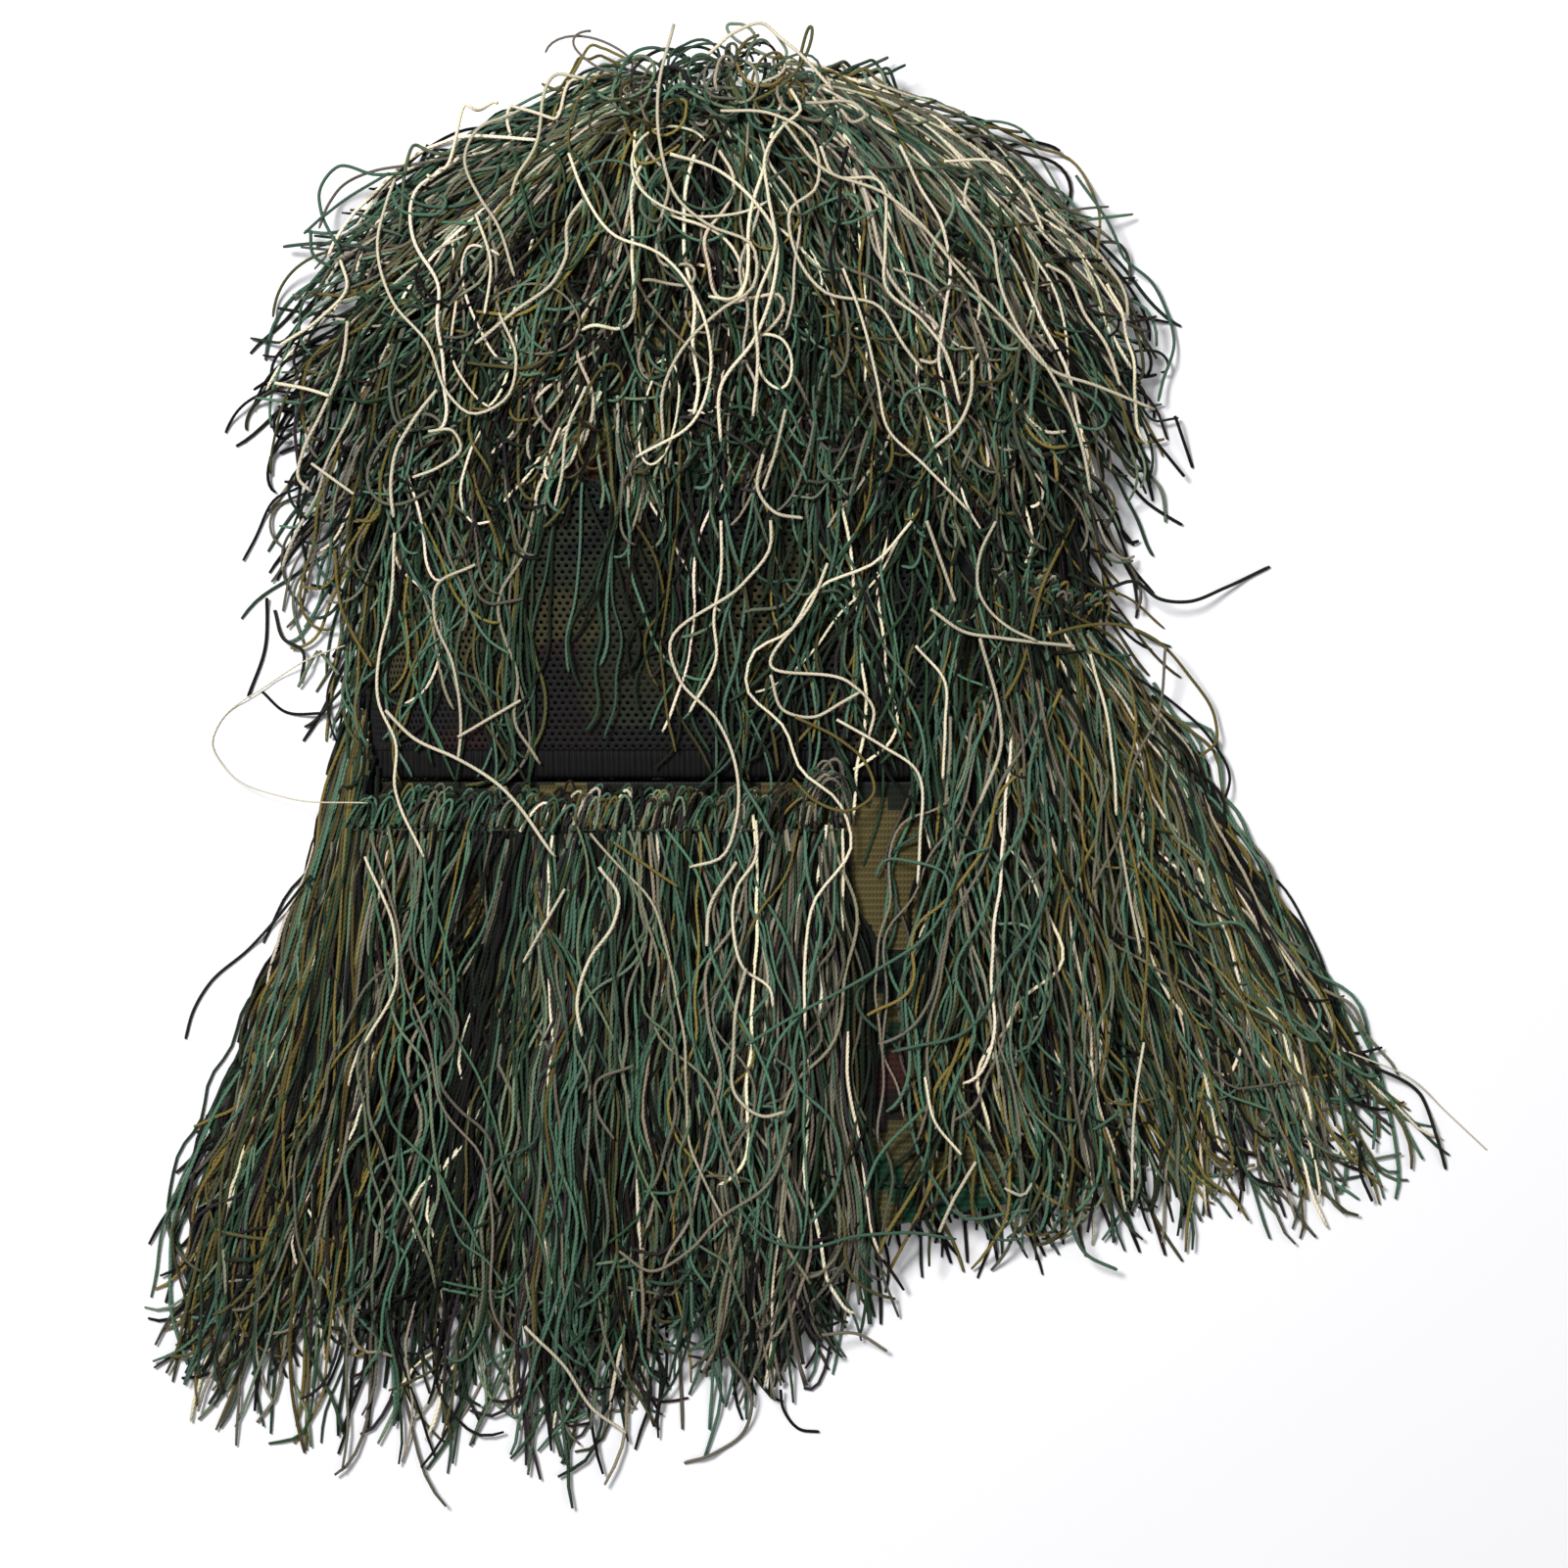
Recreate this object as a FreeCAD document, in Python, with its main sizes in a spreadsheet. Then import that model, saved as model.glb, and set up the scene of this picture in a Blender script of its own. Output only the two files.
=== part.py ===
"""Ghillie hood: a knitted camouflage hood with a face veil, a neck band and a
cape, covered with rows of hanging yarn. It is modelled as it lies on a table,
face up. Millimetres; +X to the wearer's left, +Y towards the crown, +Z up
through the face. The origin is under the middle of the whole outline."""
import FreeCAD, Part
import os
import Sketcher

doc = FreeCAD.newDocument("GhillieHood")

# Driving sizes: alias, value in millimetres, and what it is.
SIZES = [
    ("overall_width", 542, "tip to tip of the widest yarn, across the cape"),
    ("overall_length", 612, "top of the crown tuft to the lowest chest yarn"),
    ("hood_centre", -31, "place of the hood's middle line along X"),
    ("fabric_thickness", 1.2, "knitted fabric"),
    ("seam_gap", 0.3, "clear space between layers that are not sewn"),
    ("stitch_height", 1.0, "how far a line of stitches stands up"),
    ("stitch_width", 2.4, "width of a line of stitches"),
    ("back_yarn_depth", 5, "yarn that the back of the hood lies on"),
    ("neck_half_width", 146, "hood at the neck seam"),
    ("neck_rise", 15, "inside height at the neck seam"),
    ("cheek_line", 60, "place of the cheek section along Y"),
    ("cheek_half_width", 148, "hood at the cheeks"),
    ("cheek_rise", 24, "inside height at the cheeks"),
    ("brow_line", 118, "top edge of the face veil along Y"),
    ("hood_half_width", 149, "hood at the brow, half of a 60 cm head girth"),
    ("brow_rise", 36, "inside height at the brow"),
    ("dome_line", 180, "place of the highest section along Y"),
    ("dome_half_width", 146, "hood at its highest section"),
    ("dome_rise", 42, "inside height at the highest section"),
    ("dome_shoulder_length", 52, "from the dome's shoulder to its tip"),
    ("dome_shoulder_half_width", 122, "hood at the dome's shoulder"),
    ("dome_shoulder_rise", 38, "inside height at the dome's shoulder"),
    ("dome_cap_length", 20, "from the dome's cap to its tip"),
    ("dome_cap_half_width", 82, "hood at the dome's cap"),
    ("dome_cap_rise", 27, "inside height at the dome's cap"),
    ("dome_tip_half_width", 30, "flat end of the dome"),
    ("dome_tip_rise", 10, "height of the dome's flat end"),
    ("crown_strip_width", 90, "middle strip between the two side panels"),
    ("brow_band_width", 24, "ribbed band above the veil"),
    ("neck_band_width", 12, "elastic band round the neck"),
    ("veil_right_edge", 90, "veil's side seam, from the hood's middle line"),
    ("yarn_spread", 50, "how far crown yarn stands out beside the fabric"),
    ("crown_yarn_depth", 15, "yarn over the crown"),
    ("brow_yarn_depth", 13, "yarn over the brow"),
    ("cheek_yarn_depth", 9, "yarn over the cheeks"),
    ("neck_yarn_depth", 4, "yarn over the neck band"),
    ("crown_yarn_proud", 10, "crown yarn past the fabric's tip"),
    ("tuft_proud", 14, "tuft past the crown yarn"),
    ("tuft_half_width", 40, "loops of yarn at the top"),
    ("tuft_half_length", 46, "loops of yarn at the top"),
    ("tuft_top", 76, "highest loop above the table"),
    ("crown_yarn_end", 62, "lower end of the yarn beside the cheeks"),
    ("crown_row_pitch", 44, "between the rows sewn on the crown"),
    ("cape_gap", 1.5, "slack at the seam on which the front cape lifts"),
    ("bib_half_width", 166, "front cape at its hem"),
    ("bib_neck_half_width", 148, "front cape at the neck seam"),
    ("bib_neck_rise", 12.4, "front cape's inside height at the neck seam"),
    ("bib_hem_rise", 11.4, "front cape's inside height at the hem"),
    ("bib_length", 197, "front cape from the neck seam to its hem"),
    ("bib_right_length", 165, "front cape's length on its right edge"),
    ("hem_width", 9, "folded hem"),
    ("back_cape_length", 158, "back cape from the neck seam to its hem"),
    ("chest_row", 20, "chest yarn's stitches below the neck seam"),
    ("chest_row_left", 154, "left end of the chest row from the middle line"),
    ("chest_row_right", 54, "right end of the chest row from the middle line"),
    ("chest_yarn_depth", 13, "yarn over the chest"),
    ("hem_yarn_depth", 9, "yarn over the hem"),
    ("end_yarn_depth", 4, "yarn ends on the table"),
    ("chest_left_share", 74, "width of the left bunch at the row"),
    ("chest_right_share", 42, "width of the right bunch at the row"),
    ("chest_left_drop", 258, "lowest yarn of the left bunch"),
    ("chest_right_drop", 262, "lowest yarn of the right bunch"),
    ("shoulder_row", 70, "shoulder yarn's stitches above the neck seam"),
    ("shoulder_row_inner", 108, "inner end of that row from the middle line"),
    ("shoulder_neck_reach", 210, "shoulder yarn at the neck seam"),
    ("shoulder_drop", 162, "where the longest shoulder yarn ends"),
    ("shoulder_hem_drop", 212, "lowest shoulder yarn beside the chest yarn"),
    ("bare_strip", 18, "bare front cape between the two bunches"),
    ("table_reach", 420, "half size of the blocks used for trimming"),
]

sheet = doc.addObject("Spreadsheet::Sheet", "Sizes")
for row, (alias, value, meaning) in enumerate(SIZES, start=1):
    sheet.set("A%d" % row, alias)
    sheet.set("B%d" % row, str(value))
    sheet.set("C%d" % row, meaning)
    sheet.setAlias("B%d" % row, alias)
doc.recompute()


def sized(text):
    """An expression in which every alias is read from the sheet."""
    for alias in sorted((entry[0] for entry in SIZES), key=len, reverse=True):
        text = text.replace("<" + alias + ">", "Sizes." + alias)
    return text


def bind(thing, **expressions):
    for name, text in expressions.items():
        thing.setExpression(name.replace("__", "."), sized(text))
    return thing


# Heights that several pieces share.
FLOOR = "(<back_yarn_depth> + <fabric_thickness>)"
FABRIC_UNDER = "<back_yarn_depth>"
HINGE_HEIGHT = "(%s + <neck_rise> + <seam_gap> + <stitch_height>)" % FLOOR
PAST = "<table_reach>"
PAST_LOW = "-<table_reach>"
CROWN_TIP = "(<overall_length> / 2 - <tuft_proud>)"
HOOD_TIP = "(%s - <crown_yarn_proud>)" % CROWN_TIP


def ellipse(name, station, half_width, rise, centre_height):
    """An upright ellipse across the hood, at one place along Y."""
    section = doc.addObject("Part::Ellipse", name)
    section.Placement = FreeCAD.Placement(
        FreeCAD.Vector(0, 0, 0), FreeCAD.Rotation(FreeCAD.Vector(1, 0, 0), 90)
    )
    bind(
        section,
        MajorRadius=half_width,
        MinorRadius=rise,
        Placement__Base__x="<hood_centre>",
        Placement__Base__y=station,
        Placement__Base__z=centre_height,
    )
    return section


def loft(name, sections, growth="0", centre_height=FLOOR, straight=False):
    """A tube through ellipses, each grown all round by one amount. It runs
    smoothly through them, or straight from each to the next."""
    body = doc.addObject("Part::Loft", name)
    body.Sections = [
        ellipse(
            "%s_%d" % (name, k), place, "%s + %s" % (wide, growth), "%s + %s" % (high, growth), centre_height
        )
        for k, (place, wide, high) in enumerate(sections)
    ]
    body.Solid = True
    body.Ruled = straight
    return body


def block(name, x_range=(PAST_LOW, PAST), y_range=(PAST_LOW, PAST), z_range=(FLOOR, PAST)):
    """A box between two places on each axis, by default past everything."""
    box = doc.addObject("Part::Box", name)
    ends = {"x": x_range, "y": y_range, "z": z_range}
    for side, letter in (("Length", "x"), ("Width", "y"), ("Height", "z")):
        low, high = ends[letter]
        bind(box, **{side: "(%s) - (%s)" % (high, low), "Placement__Base__" + letter: low})
    return box


def outline(name, corners, z_range):
    """A prism over a plan whose corners are pairs of expressions."""
    sketch = doc.addObject("Sketcher::SketchObject", name + "_plan")
    places = [
        FreeCAD.Vector(float(sheet.evalExpression(sized(x))), float(sheet.evalExpression(sized(y))), 0)
        for x, y in corners
    ]
    count = len(corners)
    for k in range(count):
        sketch.addGeometry(Part.LineSegment(places[k], places[(k + 1) % count]), False)
    for k in range(count):
        sketch.addConstraint(Sketcher.Constraint("Coincident", k, 2, (k + 1) % count, 1))
    for k, (x, y) in enumerate(corners):
        for kind, text, value in (("DistanceX", x, places[k].x), ("DistanceY", y, places[k].y)):
            index = sketch.addConstraint(Sketcher.Constraint(kind, -1, 1, k, 1, value))
            label = "%s_corner_%d" % (kind[-1].lower(), k)
            sketch.renameConstraint(index, label)
            sketch.setExpression("Constraints." + label, sized(text))
    bind(sketch, Placement__Base__z=z_range[0])
    prism = doc.addObject("Part::Extrusion", name)
    prism.Base = sketch
    prism.DirMode = "Custom"
    prism.Dir = FreeCAD.Vector(0, 0, 1)
    prism.Solid = True
    bind(prism, LengthFwd="(%s) - (%s)" % (z_range[1], z_range[0]))
    return prism


def cut(name, base, tool):
    result = doc.addObject("Part::Cut", name)
    result.Base = base
    result.Tool = tool
    return result


def common(name, *shapes):
    result = doc.addObject("Part::MultiCommon", name)
    result.Shapes = list(shapes)
    return result


def fuse(name, *shapes):
    result = doc.addObject("Part::MultiFuse", name)
    result.Shapes = list(shapes)
    return result


nodes = []


def piece(name, shape):
    """Marks a finished object as one piece of the hood, under its own name."""
    shape.Label = name
    nodes.append(shape)
    return shape


def offset(place):
    """A place measured from the hood's middle line, along X."""
    return "<hood_centre> + (%s)" % place


# Hood: nested tubes share one list of sections, so every layer follows it.
HOOD_SECTIONS = [
    ("0", "<neck_half_width>", "<neck_rise>"),
    ("<cheek_line>", "<cheek_half_width>", "<cheek_rise>"),
    ("<brow_line>", "<hood_half_width>", "<brow_rise>"),
    ("<dome_line>", "<dome_half_width>", "<dome_rise>"),
    (HOOD_TIP + " - <dome_shoulder_length>", "<dome_shoulder_half_width>", "<dome_shoulder_rise>"),
    (HOOD_TIP + " - <dome_cap_length>", "<dome_cap_half_width>", "<dome_cap_rise>"),
    (HOOD_TIP, "<dome_tip_half_width>", "<dome_tip_rise>"),
]
YARN_SECTIONS = [
    ("<neck_band_width>", "<neck_half_width> + <neck_yarn_depth>", "<neck_rise> + <neck_yarn_depth>"),
    ("<cheek_line>", "<cheek_half_width> + <yarn_spread> / 2", "<cheek_rise> + <cheek_yarn_depth>"),
    ("<brow_line>", "<hood_half_width> + <yarn_spread>", "<brow_rise> + <brow_yarn_depth>"),
    ("<dome_line>", "<dome_half_width> + <yarn_spread>", "<dome_rise> + <crown_yarn_depth>"),
    (
        CROWN_TIP + " - <dome_shoulder_length>",
        "<dome_shoulder_half_width> + <yarn_spread>",
        "<dome_shoulder_rise> + <crown_yarn_depth>",
    ),
    (
        CROWN_TIP + " - <dome_cap_length>",
        "<dome_cap_half_width> + <yarn_spread> / 2",
        "<dome_cap_rise> + <crown_yarn_depth>",
    ),
    (CROWN_TIP, "<dome_tip_half_width> + <crown_yarn_proud>", "<dome_tip_rise> + <crown_yarn_proud>"),
]
STITCH_BED = "<seam_gap>"
STITCH_TOP = "<seam_gap> + <stitch_height>"
YARN_BED = "2 * <seam_gap> + <stitch_height>"

hood_outer = loft("hood_outer", HOOD_SECTIONS)
hood_inner = loft("hood_inner", HOOD_SECTIONS, "(0 - <fabric_thickness>)")
hood_stitch_bed = loft("hood_stitch_bed", HOOD_SECTIONS, STITCH_BED)
hood_stitch_top = loft("hood_stitch_top", HOOD_SECTIONS, STITCH_TOP)
hood_yarn_bed = loft("hood_yarn_bed", HOOD_SECTIONS, YARN_BED)
crown_yarn = loft("crown_yarn", YARN_SECTIONS)

hood_shell = cut("hood_shell", hood_outer, hood_inner)
BROW_TOP = "(<brow_line> + <brow_band_width>)"
STRIP_LEFT = offset("0 - <crown_strip_width> / 2")
STRIP_RIGHT = offset("<crown_strip_width> / 2")
VEIL_RIGHT = offset("<veil_right_edge>")
for name, x_range, y_range in (
    ("crown_left_panel", (PAST_LOW, STRIP_LEFT), (BROW_TOP, PAST)),
    ("crown_center_panel", (STRIP_LEFT, STRIP_RIGHT), (BROW_TOP, PAST)),
    ("crown_right_panel", (STRIP_RIGHT, PAST), (BROW_TOP, PAST)),
    ("brow_band", (PAST_LOW, PAST), ("<brow_line>", BROW_TOP)),
    ("face_veil", (PAST_LOW, VEIL_RIGHT), ("<neck_band_width>", "<brow_line>")),
    ("cheek_panel_right", (VEIL_RIGHT, PAST), ("<neck_band_width>", "<brow_line>")),
):
    piece(name, common(name + "_solid", hood_shell, block(name + "_block", x_range, y_range)))

# The neck band is one closed loop: an arch in front and a strip behind.
NECK_BAND_LENGTH = ("0", "<neck_band_width>")
BACK_LAYER = (FABRIC_UNDER, FLOOR)
band_wall = cut("band_wall", hood_stitch_top, hood_inner)
band_arch = common("band_arch", band_wall, block("band_arch_block", y_range=NECK_BAND_LENGTH))
band_strip = common(
    "band_strip", hood_outer, block("band_strip_block", y_range=NECK_BAND_LENGTH, z_range=BACK_LAYER)
)
piece("neck_band", fuse("neck_band_solid", band_arch, band_strip))
back_block = block("back_block", y_range=("<neck_band_width>", PAST), z_range=BACK_LAYER)
piece("back_panel", common("back_panel_solid", hood_outer, back_block))

# Lines of stitches that hold the crown rows, side by side over the dome.
CROWN_ROWS = 3
stitch_wall = cut("stitch_wall", hood_stitch_top, hood_stitch_bed)
rows = [
    common(
        "crown_stitches_%d" % k,
        stitch_wall,
        block(
            "crown_row_block_%d" % k,
            y_range=(
                "%s + <stitch_width> + %d * <crown_row_pitch>" % (BROW_TOP, k),
                "%s + 2 * <stitch_width> + %d * <crown_row_pitch>" % (BROW_TOP, k),
            ),
            z_range=(FLOOR + " + <neck_rise>", PAST),
        ),
    )
    for k in range(CROWN_ROWS)
]
piece("crown_stitching", fuse("crown_stitching_solid", *rows))

# Yarn over the hood: the space between the fabric and the yarn's surface.
YARN_SPACE = (FLOOR + " + <seam_gap>", PAST)
SPLIT_LEFT = offset("0 - <hood_half_width> / 2")
SPLIT_RIGHT = offset("<hood_half_width> / 2")
SHOULDER_INNER = offset("<shoulder_row_inner>")
CROWN_RIGHT_END = "<shoulder_row> + <neck_band_width>"
FACE_END = "<neck_band_width> + <seam_gap>"
crown_cover = cut("crown_cover", crown_yarn, hood_yarn_bed)
for name, x_range, y_range in (
    ("crown_fringe_top", (SPLIT_LEFT, SPLIT_RIGHT), ("<dome_line>", PAST)),
    ("crown_fringe_left", (PAST_LOW, SPLIT_LEFT + " - <seam_gap>"), ("<crown_yarn_end>", PAST)),
    ("crown_fringe_right", (SPLIT_RIGHT + " + <seam_gap>", PAST), (CROWN_RIGHT_END, PAST)),
    ("brow_fringe", (SPLIT_LEFT, SPLIT_RIGHT), ("<brow_line>", "<dome_line> - <seam_gap>")),
    ("face_fringe", (SPLIT_LEFT, SPLIT_RIGHT), (FACE_END, "<brow_line> - <seam_gap>")),
):
    piece(
        name,
        common(name + "_solid", crown_cover, block(name + "_block", x_range, y_range, YARN_SPACE)),
    )

# Loops of yarn in a tuft on the tip of the crown.
tuft_egg = doc.addObject("Part::Ellipsoid", "tuft_egg")
bind(
    tuft_egg,
    Radius1="(<tuft_top> - %s) / 2" % FLOOR,
    Radius2="<tuft_half_width>",
    Radius3="<tuft_half_length>",
    Placement__Base__x="<hood_centre>",
    Placement__Base__y="<overall_length> / 2 - <tuft_half_length>",
    Placement__Base__z="(<tuft_top> + %s) / 2" % FLOOR,
)
crown_yarn_grown = loft("crown_yarn_grown", YARN_SECTIONS, "<seam_gap>")
piece("crown_tuft", cut("crown_tuft_solid", tuft_egg, crown_yarn_grown))

# Front cape: nested tubes again, on the body that lifts at the neck seam.
BIB_SECTIONS = [
    ("0 - <cape_gap>", "<bib_neck_half_width>", "<bib_neck_rise>"),
    (
        "0 - <bib_length> / 2",
        "(<bib_neck_half_width> + <bib_half_width>) / 2",
        "(<bib_neck_rise> + <bib_hem_rise>) / 2",
    ),
    ("0 - <bib_length> - <hem_width>", "<bib_half_width>", "<bib_hem_rise>"),
]
bib_outer = loft("bib_outer", BIB_SECTIONS, straight=True)
bib_inner = loft("bib_inner", BIB_SECTIONS, "(0 - <fabric_thickness>)", straight=True)
bib_stitch_bed = loft("bib_stitch_bed", BIB_SECTIONS, STITCH_BED, straight=True)
bib_stitch_top = loft("bib_stitch_top", BIB_SECTIONS, STITCH_TOP, straight=True)
# The yarn's underside follows the bib, then sinks past the hem to the table.
LOWEST = "0 - <overall_length> / 2"
END_SECTION = (LOWEST + " - <yarn_spread>", "<bib_half_width>", "<fabric_thickness>")
cape_yarn_bed = loft("cape_yarn_bed", BIB_SECTIONS + [END_SECTION], YARN_BED, straight=True)
BIB_LEFT = offset("0 - <bib_half_width> - <fabric_thickness>")
BIB_RIGHT = offset("<bib_half_width> + <fabric_thickness>")
bib_shell = cut("bib_shell", bib_outer, bib_inner)
hem_shell = cut("hem_shell", bib_stitch_top, bib_inner)
bib_plan = outline(
    "bib_outline",
    [
        (BIB_LEFT, "0 - <cape_gap>"),
        (BIB_LEFT, "0 - <bib_length> + <hem_width>"),
        ("<hood_centre>", "0 - <bib_length> + <hem_width>"),
        (BIB_RIGHT, "0 - <bib_right_length> + <hem_width>"),
        (BIB_RIGHT, "0 - <cape_gap>"),
    ],
    YARN_SPACE,
)
piece("bib_panel", common("bib_panel_solid", bib_shell, bib_plan))
hem_plan = outline(
    "bib_hem_outline",
    [
        (BIB_LEFT, "0 - <bib_length> + <hem_width>"),
        (BIB_LEFT, "0 - <bib_length>"),
        ("<hood_centre>", "0 - <bib_length>"),
        (BIB_RIGHT, "0 - <bib_right_length>"),
        (BIB_RIGHT, "0 - <bib_right_length> + <hem_width>"),
        ("<hood_centre>", "0 - <bib_length> + <hem_width>"),
    ],
    YARN_SPACE,
)
piece("bib_hem", common("bib_hem_solid", hem_shell, hem_plan))
CHEST_LEFT = offset("0 - <chest_row_left>")
CHEST_RIGHT = offset("<chest_row_right>")
chest_stitch_wall = cut("chest_stitch_wall", bib_stitch_top, bib_stitch_bed)
chest_row_block = block(
    "chest_row_block",
    (offset("0 - <chest_row_left> + <chest_left_share> / 2"), CHEST_RIGHT),
    ("0 - <chest_row> - <stitch_width>", "0 - <chest_row>"),
    YARN_SPACE,
)
piece("chest_stitching", common("chest_stitching_solid", chest_stitch_wall, chest_row_block))

# Yarn over the cape.
CAPE_REACH = "(<overall_width> / 2 - <hood_centre>)"
CAPE_SECTIONS = [
    (CROWN_RIGHT_END, "<cheek_half_width> + <yarn_spread>", "<cheek_rise> + <chest_yarn_depth>"),
    ("0", "<shoulder_neck_reach>", "<neck_rise> + <neck_yarn_depth> + <end_yarn_depth>"),
    ("0 - <bib_length> / 3", CAPE_REACH, "<bib_neck_rise> + <chest_yarn_depth>"),
    ("0 - <bib_length>", CAPE_REACH + " + <yarn_spread>", "<bib_hem_rise> + <hem_yarn_depth>"),
    (LOWEST + " - <yarn_spread>", CAPE_REACH, "<bib_hem_rise> + <end_yarn_depth> / 2"),
]
cape_yarn = loft("cape_yarn", CAPE_SECTIONS, straight=True)
chest_cover = cut("chest_cover", cape_yarn, cape_yarn_bed)
CHEST_TOP = "0 - <chest_row> - <stitch_width> - <seam_gap>"
LEFT_SPLIT = offset("0 - <chest_row_left> + <chest_left_share>")
RIGHT_SPLIT = offset("<chest_row_right> - <chest_right_share>")
BUNCHES = {
    "chest_fringe_left": [
        (CHEST_LEFT, CHEST_TOP),
        ("0 - <overall_width> / 2", "0 - <chest_left_drop> + <yarn_spread> / 2"),
        ("0 - <overall_width> / 2", "0 - <chest_left_drop>"),
        (LEFT_SPLIT + " - <chest_left_share>", "%s + <tuft_proud>" % LOWEST),
        (LEFT_SPLIT + " - <seam_gap>", LOWEST + " + <crown_yarn_proud>"),
        (LEFT_SPLIT + " - <seam_gap>", CHEST_TOP),
    ],
    "chest_fringe_middle": [
        (LEFT_SPLIT, CHEST_TOP),
        (LEFT_SPLIT, LOWEST + " + <crown_yarn_proud>"),
        ("(%s + %s) / 2" % (LEFT_SPLIT, RIGHT_SPLIT), LOWEST),
        (RIGHT_SPLIT + " - <seam_gap>", "0 - <chest_right_drop>"),
        (RIGHT_SPLIT + " - <seam_gap>", CHEST_TOP),
    ],
    "chest_fringe_right": [
        (RIGHT_SPLIT, CHEST_TOP),
        (RIGHT_SPLIT, "0 - <chest_right_drop>"),
        (CHEST_RIGHT, "0 - <chest_right_drop> + <crown_yarn_proud>"),
        (CHEST_RIGHT, CHEST_TOP),
    ],
    "shoulder_fringe_lower": [
        (CHEST_RIGHT + " + <bare_strip>", CHEST_TOP),
        (CHEST_RIGHT + " + <seam_gap>", "0 - <shoulder_hem_drop>"),
        (offset("<bib_half_width>"), "0 - <bib_length>"),
        ("<overall_width> / 2", "0 - <shoulder_drop> - <crown_yarn_proud>"),
        ("<overall_width> / 2", "0 - <shoulder_drop>"),
        (offset("<shoulder_neck_reach>"), CHEST_TOP),
    ],
}
for name, corners in BUNCHES.items():
    piece(name, common(name + "_solid", chest_cover, outline(name + "_outline", corners, YARN_SPACE)))

# Shoulder yarn above the neck seam stays with the hood.
shoulder_plan = outline(
    "shoulder_upper_outline",
    [
        (SHOULDER_INNER, "<neck_band_width> + <seam_gap>"),
        (SHOULDER_INNER, "<shoulder_row>"),
        (offset("<cheek_half_width>"), "<shoulder_row>"),
        (offset("<shoulder_neck_reach>"), "<neck_band_width> + <seam_gap>"),
    ],
    YARN_SPACE,
)
shoulder_cover = cut("shoulder_cover", cape_yarn, hood_yarn_bed)
piece("shoulder_fringe_upper", common("shoulder_upper_solid", shoulder_cover, shoulder_plan))
shoulder_row_block = block(
    "shoulder_row_block",
    (SHOULDER_INNER, offset("<cheek_half_width> - <stitch_width>")),
    ("<shoulder_row> + <seam_gap>", "<shoulder_row> + <seam_gap> + <stitch_width>"),
    YARN_SPACE,
)
piece("shoulder_stitching", common("shoulder_stitching_solid", stitch_wall, shoulder_row_block))

# Back of the cape, and the yarn under the whole of the back.
BACK_LEFT = offset("0 - <bib_half_width>")
BACK_RIGHT = offset("<bib_half_width>")
NECK_LEFT = offset("0 - <neck_half_width>")
NECK_RIGHT = offset("<neck_half_width>")
piece(
    "back_cape",
    outline(
        "back_cape_solid",
        [
            (NECK_LEFT, "0 - <cape_gap> + <fabric_thickness>"),
            (BACK_LEFT, "0 - <back_cape_length> + <hem_width>"),
            (BACK_RIGHT, "0 - <back_cape_length> + <hem_width>"),
            (NECK_RIGHT, "0 - <cape_gap> + <fabric_thickness>"),
        ],
        BACK_LAYER,
    ),
)
piece(
    "back_cape_hem",
    block(
        "back_cape_hem_solid",
        (BACK_LEFT, BACK_RIGHT),
        ("0 - <back_cape_length>", "0 - <back_cape_length> + <hem_width>"),
        (FABRIC_UNDER + " - <seam_gap>", FLOOR),
    ),
)
UNDER_LAYER = ("0", FABRIC_UNDER + " - 2 * <seam_gap>")
piece(
    "back_fringe_crown",
    common(
        "back_fringe_crown_solid",
        crown_yarn,
        block("back_crown_block", y_range=("<crown_yarn_end> + <seam_gap>", PAST), z_range=UNDER_LAYER),
    ),
)
piece(
    "back_fringe_nape",
    outline(
        "back_fringe_nape_solid",
        [
            (offset("0 - <cheek_half_width> - <yarn_spread> / 2"), "<crown_yarn_end>"),
            (offset("0 - <neck_half_width> - <yarn_spread> / 2"), "<seam_gap>"),
            (offset("<neck_half_width> + <yarn_spread> / 2"), "<seam_gap>"),
            (offset("<cheek_half_width> + <yarn_spread> / 2"), "<crown_yarn_end>"),
        ],
        UNDER_LAYER,
    ),
)
BACK_LOW = "0 - <back_cape_length> - <yarn_spread> / 2"
piece(
    "back_fringe_cape",
    outline(
        "back_fringe_cape_solid",
        [
            (offset("0 - <neck_half_width> - <yarn_spread> / 2"), "0 - <seam_gap>"),
            (offset("0 - <bib_half_width> - <yarn_spread>"), BACK_LOW),
            (offset("<bib_half_width> + <yarn_spread>"), BACK_LOW),
            (offset("<neck_half_width> + <yarn_spread> / 2"), "0 - <seam_gap>"),
        ],
        UNDER_LAYER,
    ),
)

doc.recompute()
for thing in doc.Objects:
    if "Invalid" in thing.State or "Error" in thing.State:
        raise RuntimeError("%s did not compute: %s" % (thing.Name, thing.State))
for node in nodes:
    if node.Shape.isNull() or not node.Shape.isValid() or node.Shape.Volume <= 0:
        raise RuntimeError("%s has no good shape" % node.Label)

os.makedirs("parts", exist_ok=True)
for node in nodes:
    node.Shape.exportStep(os.path.join("parts", node.Label + ".step"))
box = FreeCAD.BoundBox()
for node in nodes:
    box.add(node.Shape.optimalBoundingBox(False, False))
    print("%-24s %9.0f mm3 %d solid(s)" % (node.Label, node.Shape.Volume, len(node.Shape.Solids)))
print("pieces %d, box X %.2f %.2f Y %.2f %.2f Z %.2f %.2f" % (
    len(nodes), box.XMin, box.XMax, box.YMin, box.YMax, box.ZMin, box.ZMax))
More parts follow.
